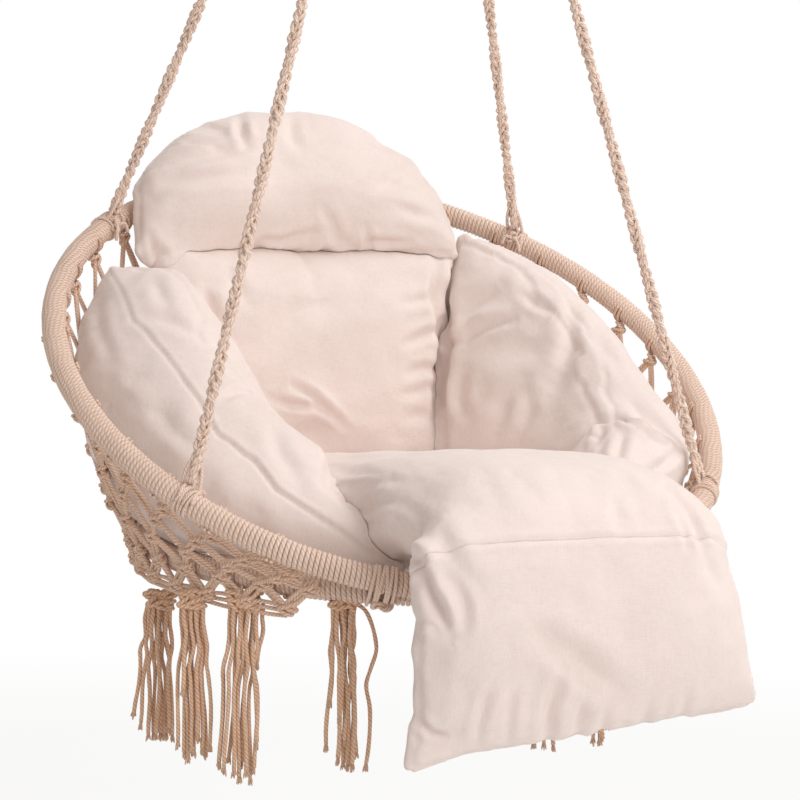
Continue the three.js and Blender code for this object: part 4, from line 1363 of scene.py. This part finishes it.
# Forms read off the photograph, in its pixels; depths and swells in metres.
# A fold: its line, width, depth, the side of its lip and the lip's share. A lump: centre, size and swell.
# A nudge: centre, size, shift across the view and way towards the camera.
SEAT_FOLDS = [
    ([(330, 467), (360, 470), (390, 475)], 4, 0.0018),
    ([(335, 480), (370, 482), (400, 480)], 4, 0.0018),
    ([(345, 500), (370, 503), (400, 501)], 5, 0.0014),
    ([(437, 525), (447, 545), (460, 570), (475, 590)], 9, 0.0034),
    ([(612, 490), (618, 515), (625, 535)], 7, 0.0020),
    ([(665, 487), (682, 505), (693, 525), (700, 540), (705, 553)], 5, 0.0055),
    ([(672, 508), (677, 515), (683, 530), (688, 548)], 4, 0.0034),
    ([(405, 560), (420, 560), (430, 590), (440, 610), (450, 635)], 6, 0.0115, -1),
    ([(440, 570), (455, 585), (463, 600), (465, 620), (460, 640)], 6, 0.0045),
    ([(420, 618), (432, 625), (440, 634)], 4, 0.0035),
    ([(412, 715), (430, 735), (445, 740)], 4, 0.0050),
    ([(477, 745), (480, 725), (486, 700), (492, 685)], 5, 0.0045),
    ([(507, 742), (509, 722), (512, 700), (516, 690)], 5, 0.0040),
    ([(545, 742), (548, 720), (552, 700), (562, 670)], 6, 0.0070),
    ([(575, 738), (578, 722), (584, 700)], 5, 0.0040),
    ([(600, 734), (603, 715), (608, 700)], 5, 0.0032),
    ([(640, 726), (645, 710), (652, 690)], 6, 0.0028),
    ([(680, 716), (684, 700), (690, 685)], 5, 0.0036),
    ([(540, 635), (570, 655), (600, 680), (630, 700)], 12, 0.0078),
    ([(705, 553), (712, 570), (722, 590)], 8, 0.0030),
    ([(400, 640), (408, 665), (412, 690)], 6, 0.0040),
]
SEAT_LUMPS = [
    ((411, 628), (10, 16), -0.008),
    ((424, 598), (11, 34), 0.006),
    ((437, 742), (24, 14), -0.008),
    ((480, 640), (40, 40), 0.005),
    ((650, 640), (70, 60), 0.005),
    ((346, 505), (26, 36), -0.011),
    ((402, 522), (34, 30), 0.008),
]
SEAT_NUDGES = [
    ((352, 512), (24, 34), (10, 6)),
    ((735, 550), (18, 40), (-9, 0)),
    ((750, 690), (18, 24), (5, 0)),
    ((404, 640), (14, 22), (-5, 0)),
    ((410, 712), (14, 14), (4, 0)),
    ((470, 752), (20, 14), (0, -4)),
    ((420, 768), (14, 12), (-3, 3)),
]
BACK_FOLDS = [
    ([(292, 385), (310, 395), (325, 408), (345, 427)], 4, 0.0070),
    ([(272, 398), (290, 405), (315, 407), (325, 412)], 4, 0.0050),
    ([(260, 345), (300, 310), (350, 295), (380, 270)], 14, 0.0050),
    ([(443, 330), (425, 335), (405, 345)], 5, 0.0045),
    ([(434, 300), (418, 300), (400, 305)], 5, 0.0034),
    ([(440, 370), (425, 368), (410, 372)], 5, 0.0045),
    ([(438, 385), (420, 392), (400, 395)], 5, 0.0034),
    ([(437, 420), (420, 415), (405, 418)], 5, 0.0030),
    ([(205, 285), (212, 310), (222, 325)], 6, 0.0060),
    ([(230, 262), (235, 285), (250, 305)], 6, 0.0040),
    ([(438, 258), (441, 300), (447, 345), (441, 390), (437, 452)], 6, 0.014, 0, 0.2),
]
BACK_LUMPS = [
    ((312, 438), (30, 18), -0.012),
    ((345, 345), (60, 50), 0.006),
]
BACK_NUDGES = [
    ((445, 295), (16, 14), (-7, 0)),
    ((452, 385), (16, 20), (-4, 0)),
]
LEFT_SEAM = [
    (109, 273), (120, 295), (133, 324), (145, 333), (165, 355), (180, 375), (200, 403),
    (217, 433), (230, 440), (243, 452), (253, 458), (262, 470), (275, 488), (290, 498),
    (310, 512), (325, 525), (340, 540), (355, 551), (380, 559), (400, 565),
]
LEFT_FOLDS = [
    (LEFT_SEAM, 2.3, 0.0040, -1, 0.35),
    ([(133, 324), (155, 322), (180, 328), (210, 340)], 5, 0.0032),
    ([(222, 398), (235, 392), (248, 390)], 4, 0.0036),
    ([(95, 300), (100, 330), (112, 360)], 7, 0.0036),
    ([(150, 290), (158, 305), (170, 318)], 6, 0.0032),
    ([(270, 420), (280, 450), (300, 480)], 8, 0.0036),
    ([(150, 400), (175, 430), (205, 455)], 9, 0.0034),
]
LEFT_NUDGES = [
    ((170, 290), (44, 26), (4, -15)),
    # its front end tapers to a point that lies over the seat and the ring
    ((364, 545), (26, 28), (50, 19), 0.014),
    ((346, 514), (24, 22), (15, 2), 0.006),
    ((350, 468), (22, 20), (-18, 8)),
]
RIGHT_FOLDS = [
    ([(447, 262), (447, 300), (450, 345), (444, 395), (440, 455)], 6, 0.014, 0, 0.2),
    ([(455, 320), (470, 305), (485, 295), (500, 285)], 8, 0.0070),
    ([(447, 345), (465, 340), (480, 328), (500, 320), (512, 318)], 5, 0.0060),
    ([(573, 296), (572, 325), (573, 345), (565, 362), (558, 380), (548, 395)], 10, 0.0080, 0, 0.3),
    ([(465, 370), (463, 400), (467, 415)], 6, 0.0060),
    ([(497, 432), (505, 405), (520, 380)], 8, 0.0045),
    ([(525, 380), (530, 410), (520, 430)], 7, 0.0036),
    ([(523, 293), (535, 302), (550, 308)], 5, 0.0045),
    ([(552, 462), (570, 450), (590, 430), (600, 423), (620, 420), (640, 418)], 5, 0.0130, 1),
    ([(620, 420), (645, 435), (655, 445)], 4, 0.0060),
    ([(610, 430), (605, 440), (600, 450)], 4, 0.0050),
    ([(625, 440), (620, 455), (615, 470)], 4, 0.0060),
    ([(640, 480), (650, 472), (660, 465), (670, 450)], 4, 0.0060),
    ([(600, 330), (612, 350), (632, 372)], 7, 0.0040),
    ([(640, 400), (652, 420), (668, 440)], 6, 0.0045),
]
RIGHT_LUMPS = [
    ((530, 345), (20, 14), -0.007),
    ((490, 375), (26, 20), 0.007),
    ((610, 365), (30, 34), 0.006),
    ((628, 458), (42, 28), 0.016),
]
RIGHT_NUDGES = [
    ((446, 340), (14, 60), (-9, 0)),
    ((628, 335), (44, 46), (-9, 5)),
    ((652, 388), (26, 42), (-10, 3)),
    ((672, 455), (20, 24), (4, 0)),
]
HEAD_FOLDS = [
    ([(160, 170), (180, 163), (200, 158), (220, 153), (240, 148), (260, 143)], 6, 0.0038),
    ([(150, 195), (165, 185), (180, 180), (200, 178), (230, 176), (255, 173)], 6, 0.0042),
    ([(240, 120), (241, 132), (246, 145)], 5, 0.0075),
    ([(150, 233), (155, 240), (165, 243), (160, 250), (145, 262)], 4, 0.0060),
    ([(258, 247), (265, 240), (280, 240), (300, 235), (325, 230)], 4, 0.0042),
    ([(325, 210), (332, 222), (338, 238), (355, 244)], 5, 0.0050),
    ([(365, 248), (372, 240), (390, 243), (410, 243)], 4, 0.0050),
    ([(365, 225), (368, 240), (372, 250)], 4, 0.0040),
    ([(300, 262), (310, 255), (325, 248), (340, 246)], 4, 0.0038),
    ([(193, 267), (205, 262), (220, 256), (240, 254)], 4, 0.0038),
    ([(400, 165), (390, 180), (375, 190)], 6, 0.0034),
    ([(440, 215), (420, 215), (400, 208)], 6, 0.0034),
    ([(290, 115), (292, 135), (300, 150)], 6, 0.0034),
]
HEAD_LUMPS = [
    ((235, 200), (55, 30), 0.005),
    ((345, 190), (50, 34), 0.005),
]
HEAD_NUDGES = [
    ((182, 250), (42, 18), (-1, 25)),
    ((330, 250), (60, 14), (0, 4)),
]

seat_flap = make_pad("seat_flap", ["seat_cushion", "leg_flap"], cap=0.0035, extra=nose())
back = make_pad("back_pad", ["back_cushion"])
left = make_pad("side_pad_left", ["side_cushion_left"])
right = make_pad("side_pad_right", ["side_cushion_right"], cap=0.005)
head = make_pad("head_pad", ["head_pillow"], cap=0.006)

# seat and flap: one cover, folded over the front ring
co = coords(seat_flap)
near = np.exp(-((seam_side(co) / 0.040) ** 2))[:, None]
set_coords(seat_flap, co + near * (spread(co, edges_of(seat_flap), 30) - co))
# the seat's back end and the foot of the back cushion come nearer to each other
lean_on(seat_flap, *SEAT_LEAN)
lean_on(back, *BACK_LEAN)
form = Form(seat_flap)
bend = np.clip((seam_side(form.co) + 0.03) / 0.06, 0, 1)[:, None]
lean = (1 - bend) * [0, 0.1, 1.0] + bend * [0, -1.0, 0.05]
lean /= np.linalg.norm(lean, axis=1, keepdims=True)
form.rim(lean, waves=9.0, seed=1.0)
form.soften(0.0034, 7.0, 4.0)
form.soften(0.0012, 20.0, 9.0)
# the sewn seam: a groove with a welt on each side
off = np.abs(seam_side(form.co))
form.add += WELT * np.exp(-(((off - 0.0055) / 0.0035) ** 2)) - SEAM_GROOVE * np.exp(-((off / 0.0024) ** 2))
form.shape(SEAT_FOLDS, SEAT_LUMPS, SEAT_NUDGES)

form = Form(back)
form.rim(thin_axis(back), waves=8.0, seed=2.0)
form.soften(0.0040, 8.0, 12.0)
form.shape(BACK_FOLDS, BACK_LUMPS, BACK_NUDGES)

# the sides' thin axis turns with the ring
for pad, seed, folds, lumps, nudges in (
    (left, 3.0, LEFT_FOLDS, [], LEFT_NUDGES),
    (right, 5.0, RIGHT_FOLDS, RIGHT_LUMPS, RIGHT_NUDGES),
):
    form = Form(pad)
    radial = form.co - RING_CENTRE
    radial[:, 2] = 0.12
    radial /= np.linalg.norm(radial, axis=1, keepdims=True)
    form.rim(radial, waves=10.0, seed=seed)
    form.soften(0.0045, 8.0, seed * 7)
    form.soften(0.0008, 22.0, seed * 5)
    form.shape(folds, lumps, nudges)

form = Form(head)
form.rim(thin_axis(head), waves=7.0, seed=8.0, pucker=0.0034)
form.soften(0.0042, 9.0, 31.0)
form.shape(HEAD_FOLDS, HEAD_LUMPS, HEAD_NUDGES)

keep_clear(back, [seat_flap])
for pad in (left, right):
    keep_clear(pad, [seat_flap, back])
keep_clear(head, [back, left, right])

dress(cut_half(seat_flap, "seat_pad", -1), "seat_cushion", "chair")
# the flap's cover meets the seat along the seam; it is baked in place and rides no body
seam_at = SEAM_NORMAL * SEAM_OFFSET
seam_bend = (seam_at, seam_at + SEAM_NORMAL * SEAM_BEND)
dress(cut_half(seat_flap, "flap_pad", 1), "leg_flap", "flap", seam_bend)
dress(back, "back_cushion", "chair")
dress(left, "side_cushion_left", "chair")
dress(right, "side_cushion_right", "chair")
# the pillow's lower edge lies on the back cushion; it is baked in place and rides no body
dress(head, "head_pillow", "pillow", PILLOW_BEND)
old = seat_flap.data
bpy.data.objects.remove(seat_flap)
bpy.data.meshes.remove(old)


# Stage and light
FLOOR_HALF = 9.0
FLOOR_LEVEL = -1.85
FLOOR_WHITE = (0.9, 0.895, 0.885, 1)
AMBIENT = (1, 0.945, 0.905, 1)
AMBIENT_STRENGTH = 0.5
WHITE = (1, 1, 1, 1)
CENTRE = (0.0, 0.0, -1.05)


def seen_by(n, *kinds):
    """1 where a ray of one of these kinds arrives."""
    rays = n.put("ShaderNodeLightPath").outputs
    out = rays[kinds[0]]
    for kind in kinds[1:]:
        out = n.math("MAXIMUM", out, rays[kind])
    return out


def mix_shaders(n, fac, a, b, out):
    mix = n.t.nodes.new("ShaderNodeMixShader")
    for i, socket in enumerate((fac, a.outputs[0], b.outputs[0])):
        n.t.links.new(socket, mix.inputs[i])
    n.t.links.new(mix.outputs[0], n.put(out).inputs[0])


def stage():
    me = bpy.data.meshes.new("floor")
    r = FLOOR_HALF
    me.from_pydata([(x, y, FLOOR_LEVEL) for x, y in ((-r, -r), (r, -r), (r, r), (-r, r))], [], [(0, 1, 2, 3)])
    ob = new_object("floor", me)
    m = bpy.data.materials.new("floor_white")
    m.use_nodes = True
    m.node_tree.nodes.clear()
    n = Nodes(m.node_tree)
    # the camera sees the floor fade into the white round it
    place = n.put("ShaderNodeTexCoord").outputs["Object"]
    reach = n.put("ShaderNodeVectorMath", operation="LENGTH", Vector=place).outputs["Value"]
    ends = {"From Min": 2.6, "From Max": 3.3, "To Min": 0.8, "To Max": 1.0}
    fade = n.put("ShaderNodeMapRange", Value=reach, **ends).outputs[0]
    fac = n.math("MULTIPLY", seen_by(n, "Is Camera Ray", "Is Glossy Ray"), fade)
    floor = n.put("ShaderNodeBsdfDiffuse", Color=FLOOR_WHITE)
    mix_shaders(n, fac, floor, n.put("ShaderNodeEmission", Color=WHITE), "ShaderNodeOutputMaterial")
    me.materials.append(m)

    world = bpy.data.worlds.new("world")
    bpy.context.scene.world = world
    world.use_nodes = True
    world.node_tree.nodes.clear()
    n = Nodes(world.node_tree)
    ambient = n.put("ShaderNodeBackground", Color=AMBIENT, Strength=AMBIENT_STRENGTH)
    white = n.put("ShaderNodeBackground", Color=WHITE, Strength=1.0)
    fac = seen_by(n, "Is Camera Ray", "Is Glossy Ray", "Is Transmission Ray")
    mix_shaders(n, fac, ambient, white, "ShaderNodeOutputWorld")


def area(name, at, target, size, power):
    data = bpy.data.lights.new(name, "AREA")
    data.shape = "SQUARE"
    data.size = size
    data.energy = power
    ob = bpy.data.objects.new(name, data)
    ob.location = at
    d = Vector(target) - Vector(at)
    ob.rotation_euler = d.to_track_quat("-Z", "Y").to_euler()
    bpy.context.scene.collection.objects.link(ob)


stage()
area("key", (0.6, -3.5, 0.3), CENTRE, 1.8, 50)
area("fill", (-2.8, -2.2, 0.0), CENTRE, 2.2, 3)
area("top", (1.5, -0.4, 1.6), CENTRE, 1.8, 44)
area("back", (0.5, 3.2, 0.4), CENTRE, 2.0, 14)

bpy.context.scene.view_settings.view_transform = "Standard"
